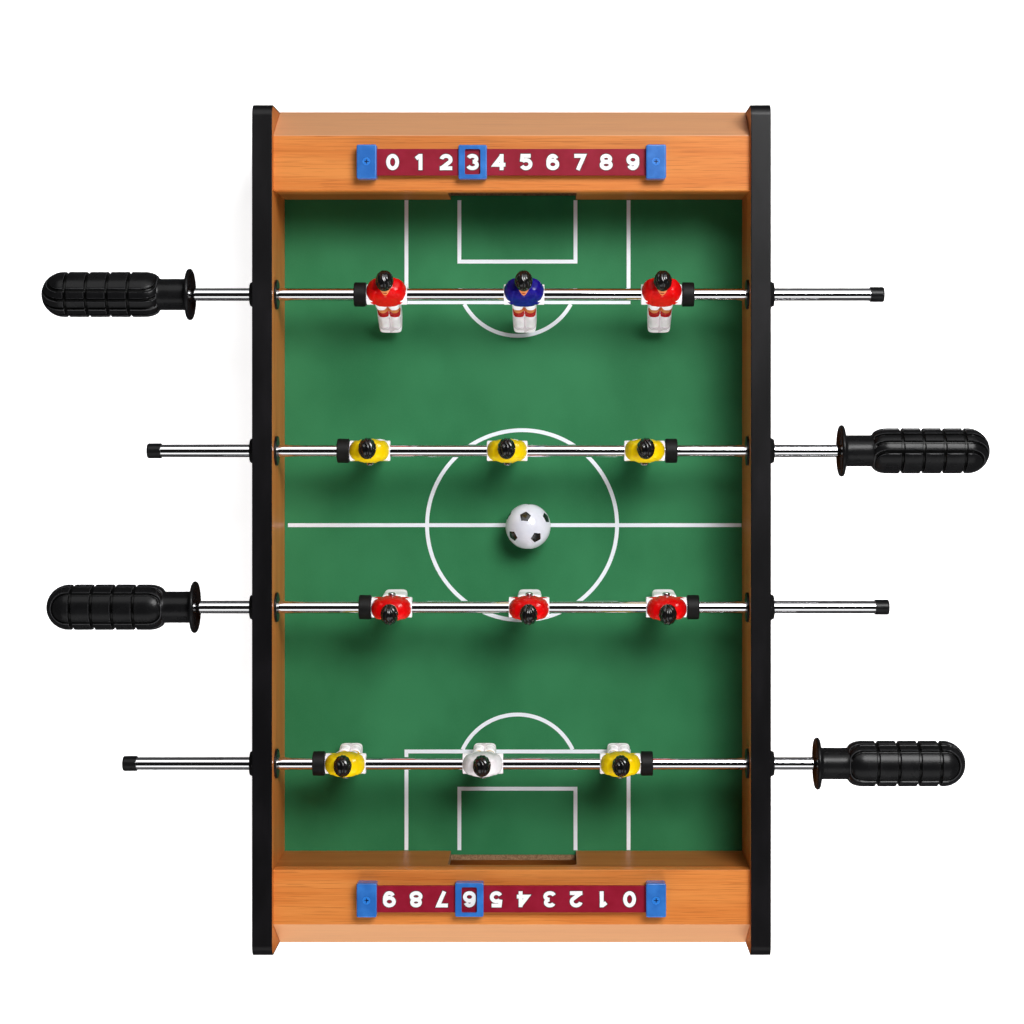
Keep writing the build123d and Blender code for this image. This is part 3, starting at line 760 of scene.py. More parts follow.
def make_markings():
    """The white lines: centre line and circle, and at each end two boxes and an arc."""
    work = bmesh.new()
    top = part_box("playfield_sheet")[1].z / MM
    end_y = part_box("goal_wall_far")[0].y / MM - 0.3
    def line(points, lift=0.0, closed=False):
        add_ribbon(work, points, top, LINE_WIDTH, LINE_HEIGHT + lift, closed)
    line([(x, 0) for x in CENTRE_LINE_REACH])
    radius = CENTRE_CIRCLE_RADIUS
    line(oval_points((CENTRE_CIRCLE_X, 0), radius, radius, 0, 360, 144)[:-1], LINE_LAP, closed=True)
    for end, penalty_y in ((1, PENALTY_AREA_Y["far"]), (-1, PENALTY_AREA_Y["near"])):
        for (left, right), line_y in ((GOAL_AREA_X, GOAL_AREA_Y), (PENALTY_AREA_X, penalty_y)):
            outline = [(left, end_y), (left, line_y), (right, line_y), (right, end_y)]
            line([(x, y * end) for x, y in outline])
        radius = PENALTY_ARC_RADIUS
        reach = PENALTY_ARC_CENTRE[1] - penalty_y + LINE_WIDTH / 2
        start = math.degrees(math.asin(reach / radius))
        arc = oval_points(PENALTY_ARC_CENTRE, radius, radius, -start, start - 180, 72)
        line([(x, y * end) for x, y in arc], LINE_LAP)
    piece = new_object("field_markings", mesh_from("field_markings", work), LINE_INK)
    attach(piece, "root")


# Score digits


def digit_strokes(digit):
    """The middle lines of a digit's strokes, as (points, whether they close), about its own middle."""
    w, h = DIGIT_HALF_WIDTH, DIGIT_HALF_HEIGHT
    if digit == 0:
        return [(oval_points((0, 0), w, h, 0, 360, 40)[:-1], True)]
    if digit == 1:
        return [([(0.7, -h - 1.1), (0.7, h + 1.1)], False), ([(-2.0, h - 1.7), (0.3, h + 0.1)], False)]
    if digit == 2:
        hook = oval_points((0, h - 2.3), w, 2.3, 170, -38, 20) + [(-w, -h)]
        return [(hook, False), ([(-w - 1, -h), (w + 1, -h)], False)]
    if digit == 3:
        upper = oval_points((-0.2, 1.95), w - 0.3, h - 1.95, 160, -85, 20)
        return [(upper, False), (oval_points((-0.2, -1.7), w, h - 1.7, 85, -160, 20), False)]
    if digit == 4:
        brace = [(1.2, h - 0.2), (-w, -1.6), (w + 0.9, -1.6)]
        return [([(1.3, -h - 1.1), (1.3, h + 1)], False), (brace, False)]
    if digit == 5:
        bowl = oval_points((-0.1, -1.25), w, h - 1.25, 140, -155, 24)
        return [([(w, h), (0.5 - w, h), (0.1 - w, 0.2)], False), (bowl, False)]
    if digit == 6:
        bowl = oval_points((0, -1.4), w, h - 1.4, 0, 360, 32)[:-1]
        return [(oval_points((0, 0), w, h, 35, 200, 24), False), (bowl, True)]
    if digit == 7:
        return [([(-w - 0.4, h), (w, h), (-1.0, -h - 1)], False)]
    upper = oval_points((0, 1.9), w - 0.35, h - 1.9, 0, 360, 32)[:-1]
    return [(upper, True), (oval_points((0, -1.75), w, h - 1.75, 0, 360, 32)[:-1], True)]


def lengthened(points, by):
    """The same line with both ends drawn out."""
    first, second, third, last = (Vector(points[index]) for index in (0, 1, -2, -1))
    start = first + (first - second).normalized() * by
    end = last + (last - third).normalized() * by
    return [tuple(start), *points[1:-1], tuple(end)]


def add_digit(work, digit, x, y, way, width, top, height):
    """A printed digit at (x, y), upright when way is 1 and upside down when it is -1. 9 is a turned 6."""
    turn = -way if digit == 9 else way
    for index, (points, closed) in enumerate(digit_strokes(6 if digit == 9 else digit)):
        if not closed:
            points = lengthened(points, (width - DIGIT_STROKE) / 2)
        points = [(x + turn * across, y + turn * up) for across, up in points]
        add_ribbon(work, points, top, width, height + STROKE_STEP * index, closed)


def make_digits():
    """0 to 9 along each score strip, each with a darker outline under it."""
    for end in ENDS:
        y = middle(f"score_strip_{end}").y / MM
        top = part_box(f"score_strip_{end}")[1].z / MM
        way = 1 if end == "far" else -1
        for label, width, height, ink in (
            ("outlines", DIGIT_STROKE + 2 * DIGIT_OUTLINE, OUTLINE_HEIGHT, OUTLINE_INK),
            ("digits", DIGIT_STROKE, DIGIT_HEIGHT, DIGIT_INK),
        ):
            work = bmesh.new()
            for digit in range(10):
                x = FIRST_DIGIT_X[end] + way * digit * DIGIT_PITCH
                add_digit(work, digit, x, y, way, width, top, height)
            name = f"score_{label}_{end}"
            piece = new_object(name, mesh_from(name, work), ink)
            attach(piece, "root")


# Handles


def spaced(marks, low, high, coarse, offsets):
    """Sample places between low and high: close together round each mark, coarse elsewhere."""
    places = {low, high}
    for mark in marks:
        places.update(mark + offset for offset in offsets if low < mark + offset < high)
    filled = []
    ordered = sorted(places)
    for start, end in zip(ordered, ordered[1:]):
        parts = max(1, round((end - start) / coarse))
        filled += [start + (end - start) * part / parts for part in range(parts)]
    return filled + [high]


def handle_stations():
    """The handle's outline from tip to dish: (distance from tip, radius, normal along, normal outwards)."""
    stations = []
    for step in range(1, TIP_STEPS + 1):
        turn = math.pi / 2 * step / TIP_STEPS
        along, out = -math.cos(turn), math.sin(turn)
        stations.append((GRIP_RADIUS + GRIP_RADIUS * along, GRIP_RADIUS * out, along, out))
    rings = [FIRST_RING + ring * RING_PITCH for ring in range(RING_COUNT)]
    edge = GROOVE_FLOOR + GROOVE_BEVEL
    middle_of_bevel = GROOVE_FLOOR + GROOVE_BEVEL / 2
    reaches = (GROOVE_FLOOR, GROOVE_FLOOR + GROOVE_BEVEL / 4, middle_of_bevel, edge - GROOVE_BEVEL / 4, edge)
    offsets = [0.0] + [reach * sign for reach in reaches for sign in (-1, 1)]
    end = GRIP_LENGTH - NECK_DOME
    stations += [(x, GRIP_RADIUS, 0.0, 1.0) for x in spaced(rings, GRIP_RADIUS + 0.6, end, 2.5, offsets)]
    drop = GRIP_RADIUS - NECK_RADIUS
    for step in range(1, NECK_STEPS):
        turn = math.pi / 2 * step / NECK_STEPS
        along, out = math.sin(turn) / NECK_DOME, math.cos(turn) / drop
        length = math.hypot(along, out)
        x, radius = end + NECK_DOME * math.sin(turn), NECK_RADIUS + drop * math.cos(turn)
        stations.append((x, radius, along / length, out / length))
    return stations


def neck_profile():
    """The rest of the outline: neck, thin flange with a round rim, dish and bore."""
    points = [(GRIP_LENGTH + 0.5, NECK_RADIUS + 0.12), (GRIP_LENGTH + 1.3, NECK_RADIUS)]
    points += [(x, NECK_RADIUS) for x in (74.0, 78.0, 82.0, 85.0, 86.4)]
    points += [(87.3, NECK_RADIUS + 0.25), (87.9, NECK_RADIUS + 0.9), (FLANGE_START + 0.1, NECK_RADIUS + 2.0)]
    rim_x = (HANDLE_LENGTH + FLANGE_START + 0.1) / 2
    rim = FLANGE_RADIUS - RIM_RADIUS
    points.append((FLANGE_START + 0.15, rim))
    for step in range(1, 10):
        turn = math.pi * step / 10
        points.append((rim_x - RIM_HALF_THICKNESS * math.cos(turn), rim + RIM_RADIUS * math.sin(turn)))
    floor = HANDLE_LENGTH - FLANGE_DISH
    points += [(HANDLE_LENGTH, rim - 0.1), (HANDLE_LENGTH - 0.25, rim - 0.7)]
    points += [(floor + 0.3, rim - 2.4), (floor, rim - 3.4), (floor, BORE_RADIUS + 1.2)]
    points += [(floor - 0.15, BORE_RADIUS + 0.3), (floor - 0.4, BORE_RADIUS)]
    points += [(HANDLE_LENGTH - BORE_DEPTH, BORE_RADIUS), (HANDLE_LENGTH - BORE_DEPTH, 0)]
    return points


def groove_depth(x, radius, turn, out):
    """How deep the grip's surface lies in its ring grooves and in the grooves along its level lines."""
    def dip(distance):
        share = min(1.0, max(0.0, (distance - GROOVE_FLOOR) / GROOVE_BEVEL))
        return GROOVE_DEPTH * (1 - share * share * (3 - 2 * share))
    ring = min(abs(x - FIRST_RING - ring * RING_PITCH) for ring in range(RING_COUNT))
    height = radius * math.cos(turn)
    steepness = math.sqrt(max(0.06, 1 - (out * math.cos(turn)) ** 2))
    levels = [GRIP_RADIUS * math.cos(math.radians(angle)) for angle in GROOVE_ANGLES]
    line = min(abs(height - level) for level in levels) / steepness
    fade = 1.0
    if x > GRIP_LENGTH - NECK_DOME:
        fade = min(1.0, max(0.0, (radius - NECK_RADIUS - 0.3) / 1.2))
    return max(dip(ring), dip(line) * fade)


def handle_mesh():
    """The moulded grip, with its tip at the origin and its flange towards +X, in millimetres."""
    turns = [2 * math.pi * column / GRIP_COLUMNS for column in range(GRIP_COLUMNS)]
    work = bmesh.new()
    groove = work.verts.layers.float.new("groove")
    rows = [[work.verts.new((0, 0, 0))]]
    for x, radius, along, out in handle_stations():
        row = []
        for turn in turns:
            depth = groove_depth(x, radius, turn, out)
            reach = radius - depth * out
            place = (x - depth * along, -reach * math.sin(turn), reach * math.cos(turn))
            vertex = work.verts.new(place)
            vertex[groove] = depth / GROOVE_DEPTH
            row.append(vertex)
        rows.append(row)
    for x, radius in neck_profile():
        around = turns if radius else [0.0]
        points = [(x, -radius * math.sin(turn), radius * math.cos(turn)) for turn in around]
        rows.append([work.verts.new(point) for point in points])
    grid_faces(work, rows)
    return mesh_from("handle", work)


def make_handles():
    shared = handle_mesh()
    for name, rod in RODS.items():
        node = f"{name}_handle"
        low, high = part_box(node)
        on_right = middle(node).x > 0
        tip = high.x if on_right else low.x
        mesh = shared.copy()
        mesh.transform(place_of(name, tip, rod["handle_turn"], on_right) @ Matrix.Scale(MM, 4))
        piece = new_object(f"{name}_grip", mesh, GRIP)
        shade(piece, 50)
        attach(piece, f"{name}_rod")
        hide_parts(node)


# Players


def add_oval(work, centre, radii, steps=40):
    """An ellipsoid as a turned ball, stretched."""
    profile = [(-math.cos(math.pi * step / 20), math.sin(math.pi * step / 20)) for step in range(21)]
    profile[0], profile[-1] = (-1, 0), (1, 0)
    add_lathe(work, profile, Matrix.LocRotScale(Vector(centre), None, Vector(radii)), steps)


def add_taper(work, start, end, start_radius, end_radius, round_start=True, round_end=True):
    """A round bar that narrows, with round or flat ends."""
    start, end = Vector(start), Vector(end)
    turn = (end - start).to_track_quat("X", "Z").to_matrix().to_4x4()
    length = (end - start).length
    profile = [(0, 0), (0, start_radius), (length, end_radius), (length, 0)]
    add_lathe(work, profile, Matrix.Translation(start) @ turn, 32)
    if round_start:
        add_oval(work, start, [start_radius] * 3, 32)
    if round_end:
        add_oval(work, end, [end_radius] * 3, 32)


def add_loft(work, sections, steps=56):
    """A closed form through level sections: (z, x, y, half width, half depth, squareness)."""
    rows = []
    for z, x, y, half_width, half_depth, squareness in sections:
        row = []
        for step in range(steps):
            turn = 2 * math.pi * step / steps
            cos, sin = math.cos(turn), math.sin(turn)
            across = half_width * math.copysign(abs(cos) ** (2 / squareness), cos)
            forward = half_depth * math.copysign(abs(sin) ** (2 / squareness), sin)
            row.append(work.verts.new((x + across, y + forward, z)))
        rows.append(row)
    grid_faces(work, rows)
    work.faces.new(rows[0])
    work.faces.new(rows[-1])


def join(work, piece):
    """Moves the forms of one bmesh into another."""
    mesh = bpy.data.meshes.new("forms")
    piece.to_mesh(mesh)
    piece.free()
    work.from_mesh(mesh)
    bpy.data.meshes.remove(mesh)


def head_frame():
    """The bowed head's own frame: its middle, with the face towards +Y and down."""
    return Matrix.Translation(HEAD_CENTRE) @ Matrix.Rotation(math.radians(-HEAD_BOW), 4, "X")


def add_hair(head):
    """A cap of hair: an oval cut off along a slanting hairline."""
    hair = bmesh.new()
    radii = [radius + HAIR_THICKNESS for radius in HEAD_RADII]
    add_oval(hair, (0, -0.15, 0.1), radii, 48)
    cut = bmesh.ops.bisect_plane(
        hair,
        geom=hair.verts[:] + hair.edges[:] + hair.faces[:],
        plane_co=(0, 0, HAIRLINE_UP),
        plane_no=(0, -HAIRLINE_SLOPE, 1),
        clear_inner=True,
    )
    rim = [item for item in cut["geom_cut"] if isinstance(item, bmesh.types.BMEdge)]
    bmesh.ops.contextual_create(hair, geom=rim)
    join(head, hair)


def add_head(work):
    """A calm, plain face on an oval head that looks down at the ball, and the neck under it."""
    head = bmesh.new()
    add_oval(head, (0, 0, 0), HEAD_RADII, 48)
    add_oval(head, (0, 1.2, -2.9), (3.3, 3.8, 3.1))
    add_oval(head, (0, 5.2, -1.7), (0.8, 0.85, 0.8))
    add_taper(head, (0, 5.0, 0.2), (0, 5.45, -1.5), 0.45, 0.6)
    add_oval(head, (0, 4.3, -4.7), (1.4, 0.9, 0.9))
    for side in (-1, 1):
        add_oval(head, (side * EYE_X, 4.1, 0.2), (1.6, 1.05, 0.7))
        add_oval(head, (side * 4.6, 0.2, -1.1), (0.7, 1.2, 1.6))
    add_hair(head)
    bmesh.ops.transform(head, matrix=head_frame(), verts=head.verts)
    join(work, head)
    add_taper(work, (0, 0.4, 10.5), (0, 1.1, 16.0), 3.3, 3.2, False, False)


def collar_points():
    """The line of the collar: round the neck at the back, down to a V on the chest."""
    points = []
    for step in range(49):
        turn = 2 * math.pi * step / 48
        front = max(0.0, math.cos(turn))
        forward = (COLLAR_RADIUS + COLLAR_BULGE * front**4) * math.cos(turn)
        points.append((COLLAR_RADIUS * math.sin(turn), NECK_Y + forward, 14.3 - COLLAR_DIP * front**2))
    return points


def add_clothes(work):
    """Shirt with cap sleeves, collar and folds, and the two legs of the shorts."""
    trunk = (
        (HEM_Z, 0, 0.1, 8.0, 6.7, 2.9),
        (-2.2, 0, 0.1, 8.1, 6.95, 2.9),
        (0.5, 0, 0.1, 8.2, 7.1, 2.9),
        (4.0, 0, 0.1, 8.8, 7.25, 2.7),
        (7.5, 0, 0.2, 9.8, 7.2, 2.6),
        (10.5, 0, 0.3, 9.3, 6.7, 2.4),
        (12.6, 0, 0.5, 7.8, 5.9, 2.2),
        (13.9, 0, 0.7, 6.0, 5.0, 2.1),
        (14.5, 0, NECK_Y, 4.6, 4.5, 2.0),
    )
    add_loft(work, trunk)
    for start, end in zip(collar_points(), collar_points()[1:]):
        add_taper(work, start, end, COLLAR_HALF_WIDTH, COLLAR_HALF_WIDTH, True, False)
    for side in (-1, 1):
        sleeve = (
            (SLEEVE_END_Z, side * 7.6, 0.3, 4.5, 5.7, 2.1),
            (3.6, side * 7.6, 0.3, 4.6, 6.0, 2.0),
            (6.0, side * 7.5, 0.3, 4.6, 6.1, 1.9),
            (8.5, side * 7.1, 0.3, 4.4, 5.9, 1.9),
            (11.0, side * 6.3, 0.4, 3.9, 5.3, 2.0),
            (13.0, side * 5.4, 0.5, 3.0, 4.5, 2.1),
            (13.9, side * 4.2, 0.6, 1.8, 3.0, 2.0),
        )
        add_loft(work, sleeve, 48)
        for height, lean in ((7.2, 0.5), (4.2, -0.4)):
            add_taper(work, (side * 2.2, 7.0, height), (side * 6.6, 5.9, height + lean), 0.5, 0.35)
        add_taper(work, (side * 3.0, -6.9, 2.0), (side * 7.0, -5.4, 4.5), 0.5, 0.35)
        short_leg = (
            (KNEE_Z + 0.4, side * 3.85, 0.5, 3.7, 5.6, 2.6),
            (-7.2, side * 3.85, 0.4, 3.85, 5.9, 2.6),
            (-4.0, side * 3.85, 0.2, 4.1, 6.1, 2.6),
            (-2.0, side * 3.85, 0.1, 4.0, 6.0, 2.6),
        )
        add_loft(work, short_leg, 40)


def add_legs(work):
    """Knees, rolled sock tops, calves and boots in relief on the block that strikes the ball."""
    for side in (-1, 1):
        x = side * LEG_X
        add_taper(work, (x, 0.6, -7.0), (x * 0.97, 0.6, -16.0), 3.25, 2.9)
        add_oval(work, (x, 2.0, -11.6), (2.5, 2.2, 2.3))
        add_taper(work, (x, 0.7, SOCK_TOP_Z), (x, 0.7, SOCK_TOP_Z - 1.3), 3.3, 3.3, False, False)
        add_taper(work, (x * 0.97, 0.7, -15.5), (x * 0.93, 0.8, -22.5), 3.05, 3.0)
        add_taper(work, (x * 0.92, 2.4, -22.8), (x * 0.9, 3.3, -30.5), 3.15, 2.95)
        add_oval(work, (x * 0.9, 3.9, -31.2), (2.95, 2.9, 3.6))
        cuff = x * 0.92, 2.2
        add_taper(work, (*cuff, BOOT_TOP_Z - 0.4), (*cuff, BOOT_TOP_Z - 1.5), 3.45, 3.45, False, False)
        for lace in range(3):
            height = -25.0 - lace * 1.7
            add_taper(work, (x * 0.9 - 1.3, 5.5, height), (x * 0.9 + 1.3, 5.5, height), 0.36, 0.36)
    block = (
        (FOOT_BOTTOM_Z, 0, 0.2, 6.5, 6.0, 6.0),
        (FOOT_BOTTOM_Z + 0.6, 0, 0.2, 6.9, 6.4, 6.0),
        (-34.0, 0, 0.0, 7.1, 6.2, 6.0),
        (-30.0, 0, -0.5, 7.3, 5.0, 6.0),
        (-24.0, 0, -1.0, 7.4, 4.6, 6.0),
        (-17.0, 0, -1.5, 7.4, 4.0, 5.0),
        (-16.0, 0, -1.6, 6.8, 3.8, 4.0),
    )
    add_loft(work, block)


def remeshed(work):
    """One closed skin round all the forms in the bmesh, smoothed, in millimetres."""
    mesh = bpy.data.meshes.new("figure_forms")
    work.to_mesh(mesh)
    work.free()
    scratch = linked("figure_scratch", mesh)
    remesh = scratch.modifiers.new("skin", "REMESH")
    remesh.mode = "VOXEL"
    remesh.voxel_size = FIGURE_VOXEL
    smooth = scratch.modifiers.new("soften", "SMOOTH")
    smooth.factor = 0.5
    smooth.iterations = 3
    thin = scratch.modifiers.new("thin", "DECIMATE")
    thin.ratio = FIGURE_SHARE_KEPT
    return baked(scratch)


def baked(scratch):
    """The object's mesh with its modifiers applied; the object is removed."""
    bpy.context.view_layer.update()
    mesh = bpy.data.meshes.new_from_object(scratch.evaluated_get(bpy.context.evaluated_depsgraph_get()))
    bpy.data.objects.remove(scratch)
    return mesh


def bored(mesh):
    """Cuts the rod's bore out of a player."""
    cutter = bmesh.new()
    bore = [(-HUB_HALF_LENGTH - 2, 0), (-HUB_HALF_LENGTH - 2, BORE_RADIUS)]
    bore += [(HUB_HALF_LENGTH + 2, BORE_RADIUS), (HUB_HALF_LENGTH + 2, 0)]
    add_lathe(cutter, bore, Matrix.Identity(4), 64)
    cutting = linked("bore", mesh_from("bore", cutter))
    scratch = linked("bored", mesh)
    cut = scratch.modifiers.new("bore", "BOOLEAN")
    cut.object = cutting
    cut.operation = "DIFFERENCE"
    cut.solver = "EXACT"
    result = baked(scratch)
    bpy.data.objects.remove(cutting)
    return result


def segment_distance(points, start, end):
    """Distance of each point from the stretch between two points."""
    start, end = np.array(start), np.array(end)
    along = end - start
    share = np.clip((points - start) @ along / (along @ along), 0, 1)
    return np.linalg.norm(points - start - share[:, None] * along, axis=1)


def in_head(points):
    """Points in the bowed head's own frame."""
    frame_turn = np.array(head_frame().to_3x3())
    return (points - np.array(HEAD_CENTRE)) @ frame_turn


def hair_border(points):
    """How far inside the hairline each point is."""
    local = in_head(points)
    wave = 0.2 * np.sin(local[:, 0] * 2.3) + 0.14 * np.sin(local[:, 0] * 5.1 + 1)
    sideburn = 1.3 * np.exp(-(((local[:, 1] - 1.2) / 0.9) ** 2)) * (np.abs(local[:, 0]) > 3.4)
    above = local[:, 2] - HAIRLINE_UP - HAIRLINE_SLOPE * local[:, 1] - wave + sideburn
    return np.minimum(above, points[:, 2] - 15.0)


def paint_borders(points):
    """Signed distances, in millimetres and positive inside, to the borders of each painted region."""
    across, y, z = np.abs(points[:, 0]), points[:, 1], points[:, 2]
    folded = np.stack([across, y, z], axis=1)
    front = np.maximum(0.0, y - NECK_Y) / np.maximum(0.01, np.hypot(points[:, 0], y - NECK_Y))
    inside = COLLAR_RADIUS + COLLAR_BULGE * front**5 - np.hypot(points[:, 0], y - NECK_Y)
    neck = np.minimum(inside, z - 8.8)
    line = [segment_distance(points, a, b) for a, b in zip(collar_points(), collar_points()[1:])]
    collar = COLLAR_HALF_WIDTH + TRIM_HALF_WIDTH - np.min(line, axis=0)
    collar = np.minimum(collar, inside + TRIM_HALF_WIDTH)
    sleeve = np.minimum(np.hypot(y, z) - HUB_RADIUS - 0.15, z - SLEEVE_END_Z + 0.2)
    shirt = np.minimum(z - HEM_Z + 0.2, np.maximum(SHIRT_HALF_WIDTH - across, sleeve))
    shirt = np.minimum(np.minimum(shirt, -neck), SHIRT_TOP_Z - z)
    hub = np.minimum(across - HUB_PAINT_X, 9.0 - np.abs(z))
    shorts = np.minimum(HEM_Z - z + 2.0, z - KNEE_Z - 0.35 * np.cos(across * 1.3))
    leg = segment_distance(folded, (LEG_X, 0.6, -6.0), (LEG_X * 0.93, 0.8, -23.0))
    on_leg = np.minimum(3.75 - leg, y - 0.2)
    boot = segment_distance(folded, (LEG_X * 0.92, 2.6, -23.5), (LEG_X * 0.9, 3.6, -31.5))
    block = np.minimum(-15.6 - z, -on_leg)
    white = np.max([shorts, BOOT_TOP_Z + 0.15 - z, block, hub], axis=0)
    # Painted shade round the boots and between them, kept as a paint border
    crease_shade = np.minimum(0.28 - np.abs(boot - 3.45), np.minimum(BOOT_TOP_Z - 1.5 - z, y - 1.5))
    between = np.minimum(np.minimum(0.3 - across, y - 3.5), BOOT_TOP_Z - z)
    return {
        "hair": hair_border(points),
        "shirt": shirt,
        "collar": collar,
        "white": white,
        "sock": SOCK_TOP_Z + 0.1 - z,
        "crease_shade": np.maximum(crease_shade, between),
    }


def combed(mesh):
    """Raises fine locks of hair, which run from the crown to the forehead."""
    points = np.array([vertex.co for vertex in mesh.vertices])
    normals = np.array([vertex.normal for vertex in mesh.vertices])
    local = in_head(points)
    turn = np.arctan2(local[:, 0], local[:, 2] + 2.0)
    locks = np.cos(turn * 15 + 0.9 * np.sin(local[:, 1] * 0.9) + 0.5 * local[:, 1])
    lift = LOCK_HEIGHT * locks * np.clip(hair_border(points) / 0.8, 0, 1)
    points += normals * lift[:, None]
    mesh.vertices.foreach_set("co", points.ravel())
    mesh.update()


def figure_mesh():
    """The moulded player with its paint borders, about the rod's axis, in metres."""
    work = bmesh.new()
    add_head(work)
    add_clothes(work)
    add_legs(work)
    hub = [(-HUB_HALF_LENGTH, 0), (-HUB_HALF_LENGTH, HUB_RADIUS - 0.3), (-HUB_HALF_LENGTH + 0.3, HUB_RADIUS)]
    hub += [(-along, radius) for along, radius in reversed(hub)]
    add_lathe(work, hub, Matrix.Identity(4), 64)
    mesh = remeshed(work)
    combed(mesh)
    mesh = bored(mesh)
    points = np.array([vertex.co for vertex in mesh.vertices], float)
    for name, values in paint_borders(points).items():
        border = mesh.attributes.new(name, "FLOAT", "POINT")
        border.data.foreach_set("value", values.astype(np.float32))
    mesh.materials.clear()
    mesh.transform(Matrix.Scale(MM, 4))
    return mesh


def make_players():
    shared = figure_mesh()
    for name, rod in RODS.items():
        team = rod["team"]
        for node in frame["record"]["behaviour"]["bodies"][f"{name}_rod"]:
            if "_player_" not in node or node.endswith("screws"):
                continue
            slot = KEEPER_SLOT[team] if node.endswith("keeper") else f"player_{team}"
            piece = new_object(node.replace("_player_", "_figure_"), shared.copy(), FIGURES[slot])
            piece.matrix_world = place_of(name, middle(node).x, rod["tilt"], rod["front"] < 0)
            shade(piece, 60)
            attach(piece, f"{name}_rod")
            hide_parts(node)


# Ball


def icosahedron_corners():
    """The twelve corners, which are the middles of the ball's black panels."""
    golden = (1 + math.sqrt(5)) / 2
    corners = []
    for one in (-1, 1):
        for long in (-golden, golden):
            corners += [(0, one, long), (one, long, 0), (long, 0, one)]
    return [Vector(corner).normalized() for corner in corners]


def adjacent(one, other):
    """True for two corners of an icosahedron that share an edge."""
    return 0.3 < one.dot(other) < 0.6


def ball_turn(corners):
    """The turn that brings one black panel, and the next one beside it, to where they lie at rest."""
    near = [corner for corner in corners if adjacent(corner, corners[0])]
    def basis(first, second):
        first = first.normalized()
        third = first.cross(second).normalized()
        return Matrix((first, third.cross(first), third)).transposed()
    wanted = basis(Vector(BALL_UP_PANEL), Vector(BALL_NEXT_PANEL))
    return wanted @ basis(corners[0], near[0]).transposed()


def ball_panels(corners):
    """Each panel as (middle, corner directions): 12 pentagons, then 20 hexagons."""
    def beside(corner):
        return [other for other in corners if adjacent(other, corner)]
    def in_ring(centre, points):
        side = centre.orthogonal().normalized()
        other = centre.cross(side)
        return sorted(points, key=lambda point: math.atan2(point.dot(other), point.dot(side)))
    panels = [
        (corner, in_ring(corner, [(corner * 2 + other) / 3 for other in beside(corner)]), True)
        for corner in corners
    ]
    for a, first in enumerate(corners):
        for b in range(a + 1, len(corners)):
            for c in range(b + 1, len(corners)):
                three = (first, corners[b], corners[c])
                if all(adjacent(p, q) for p, q in zip(three, three[1:] + three[:1])):
                    centre = (three[0] + three[1] + three[2]).normalized()
                    points = [(p * 2 + q) / 3 for p in three for q in three if p is not q]
                    panels.append((centre, in_ring(centre, points), False))
    return panels


def make_ball():
    """A ball with sunk seams between its panels and a black pentagon inside each five-sided one."""
    corners = icosahedron_corners()
    turn = ball_turn(corners)
    shares = [0.0, 0.14, 0.28, 0.42, 0.56, 0.66, PENTAGON_SHARE - 0.015, PENTAGON_SHARE]
    shares += [0.85, SEAM_START, 0.95, 0.98, 1.0]
    work = bmesh.new()
    for centre, ring, black in ball_panels(corners):
        for first, second in zip(ring, ring[1:] + ring[:1]):
            rows = []
            for share in shares:
                seam = SEAM_DEPTH * max(0.0, (share - SEAM_START) / SEAM_SPAN) ** 2
                row = []
                for column in range(PANEL_COLUMNS + 1 if share else 1):
                    edge = first.lerp(second, column / PANEL_COLUMNS)
                    place = turn @ centre.lerp(edge, share).normalized()
                    row.append(work.verts.new(place * (BALL_RADIUS - seam) * MM))
                rows.append(row)
            for share, low, high in zip(shares[1:], rows, rows[1:]):
                for column in range(PANEL_COLUMNS):
                    if len(low) == 1:
                        face = work.faces.new((low[0], high[column], high[column + 1]))
                    else:
                        face = work.faces.new((low[column], high[column], high[column + 1], low[column + 1]))
                    if black and share <= PENTAGON_SHARE:
                        face.material_index = 1
    bmesh.ops.remove_doubles(work, verts=work.verts, dist=0.004 * MM)
    piece = new_object("soccer_ball", mesh_from("soccer_ball", work), WHITE_GLOSS, BLACK_GLOSS)
    piece.data.transform(Matrix.Translation(middle("ball")))
    shade(piece, 80)
    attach(piece, "ball")
    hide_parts("ball")


# CAD pieces that stay


def finish_cad_nodes():
    """Gives the turned and moulded CAD pieces that stay their materials."""
    finishes = {"score_strip": MAROON, "score_brackets": BLUE, "score_slider": BLUE}
    by_node = {f"{part}_{end}": finish for part, finish in finishes.items() for end in ENDS}
    by_node.update({"score_bracket_screws": BLUE_STEEL, "panel_screws": ZINC, "rubber_feet": RUBBER})
    by_node.update({"rod_bushings": BLACK, "bushing_collars": BLACK})
    on_rod = {"tube": CHROME, "end_cap": BLACK, "bumpers": RUBBER, "player_screws": ZINC}
    by_node.update({f"{name}_{part}": finish for part, finish in on_rod.items() for name in RODS})
    for node, material in by_node.items():
        for slot in frame["nodes"][node].material_slots:
            slot.material = material


# Studio


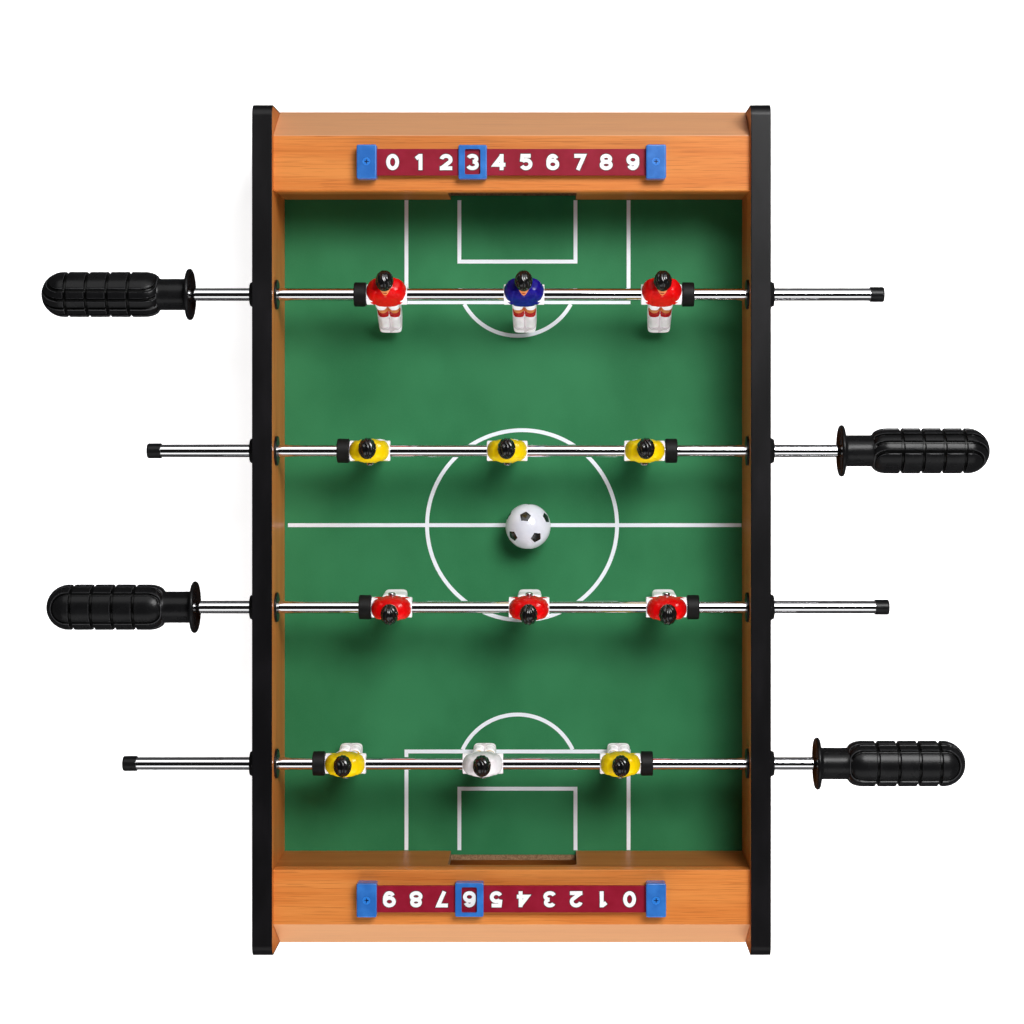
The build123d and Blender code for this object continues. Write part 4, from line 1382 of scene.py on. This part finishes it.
def soft_box(name, place, size, power, lights=True, mirrored=True):
    """A rectangular lamp that points at the middle of the table.

    lights lets it light matt surfaces, and mirrored lets glossy surfaces show it.
    """
    data = bpy.data.lights.new(name, "AREA")
    data.shape = "RECTANGLE"
    data.size, data.size_y = size
    data.energy = power
    lamp = linked(name, data)
    lamp.location = place
    lamp.rotation_euler = Vector(place).to_track_quat("Z", "Y").to_euler()
    lamp.visible_diffuse = lights
    lamp.visible_glossy = mirrored


def make_sky():
    """Surroundings that are dark overhead and bright near the horizon; the backdrop itself is pale."""
    world = bpy.data.worlds.new("studio")
    bpy.context.scene.world = world
    world.use_nodes = True
    tree = world.node_tree
    place = tree.nodes.new("ShaderNodeTexCoord").outputs["Generated"]
    split = tree.nodes.new("ShaderNodeSeparateXYZ")
    tree.links.new(place, split.inputs[0])
    low = Value(tree, split.outputs["Z"]).step(0.75, 0.0)
    glow = low * SKY_HORIZON + SKY_ZENITH
    strength = glow.most(seen_directly(tree) * SKY_BACKDROP)
    feed(tree, tree.nodes["Background"].inputs["Strength"], strength)
    set_inputs(tree.nodes["Background"], {"Color": (1, 1, 1, 1)})


def make_studio():
    make_sky()
    soft_box("key_light", KEY_PLACE, KEY_SIZE, KEY_POWER)
    soft_box("panel_light", PANEL_PLACE, PANEL_SIZE, PANEL_POWER, lights=False)
    soft_box("fill_light", FILL_PLACE, FILL_SIZE, FILL_POWER)
    soft_box("front_light", FRONT_PLACE, FRONT_SIZE, FRONT_POWER, mirrored=False)
    work = bmesh.new()
    bmesh.ops.create_circle(work, cap_ends=True, segments=128, radius=FLOOR_RADIUS)
    floor = new_object("studio_floor", mesh_from("studio_floor", work), floor_finish())


def make_camera():
    data = bpy.data.cameras.new("camera")
    data.lens = CAMERA_LENS
    data.sensor_width = CAMERA_SENSOR
    data.shift_x, data.shift_y = CAMERA_SHIFT
    camera = linked("camera", data)
    camera.location = CAMERA_PLACE
    bpy.context.scene.camera = camera
    bpy.context.scene.view_settings.view_transform = "Standard"


make_camera()
make_studio()
make_box()
make_markings()
make_digits()
make_handles()
make_players()
make_ball()
finish_cad_nodes()
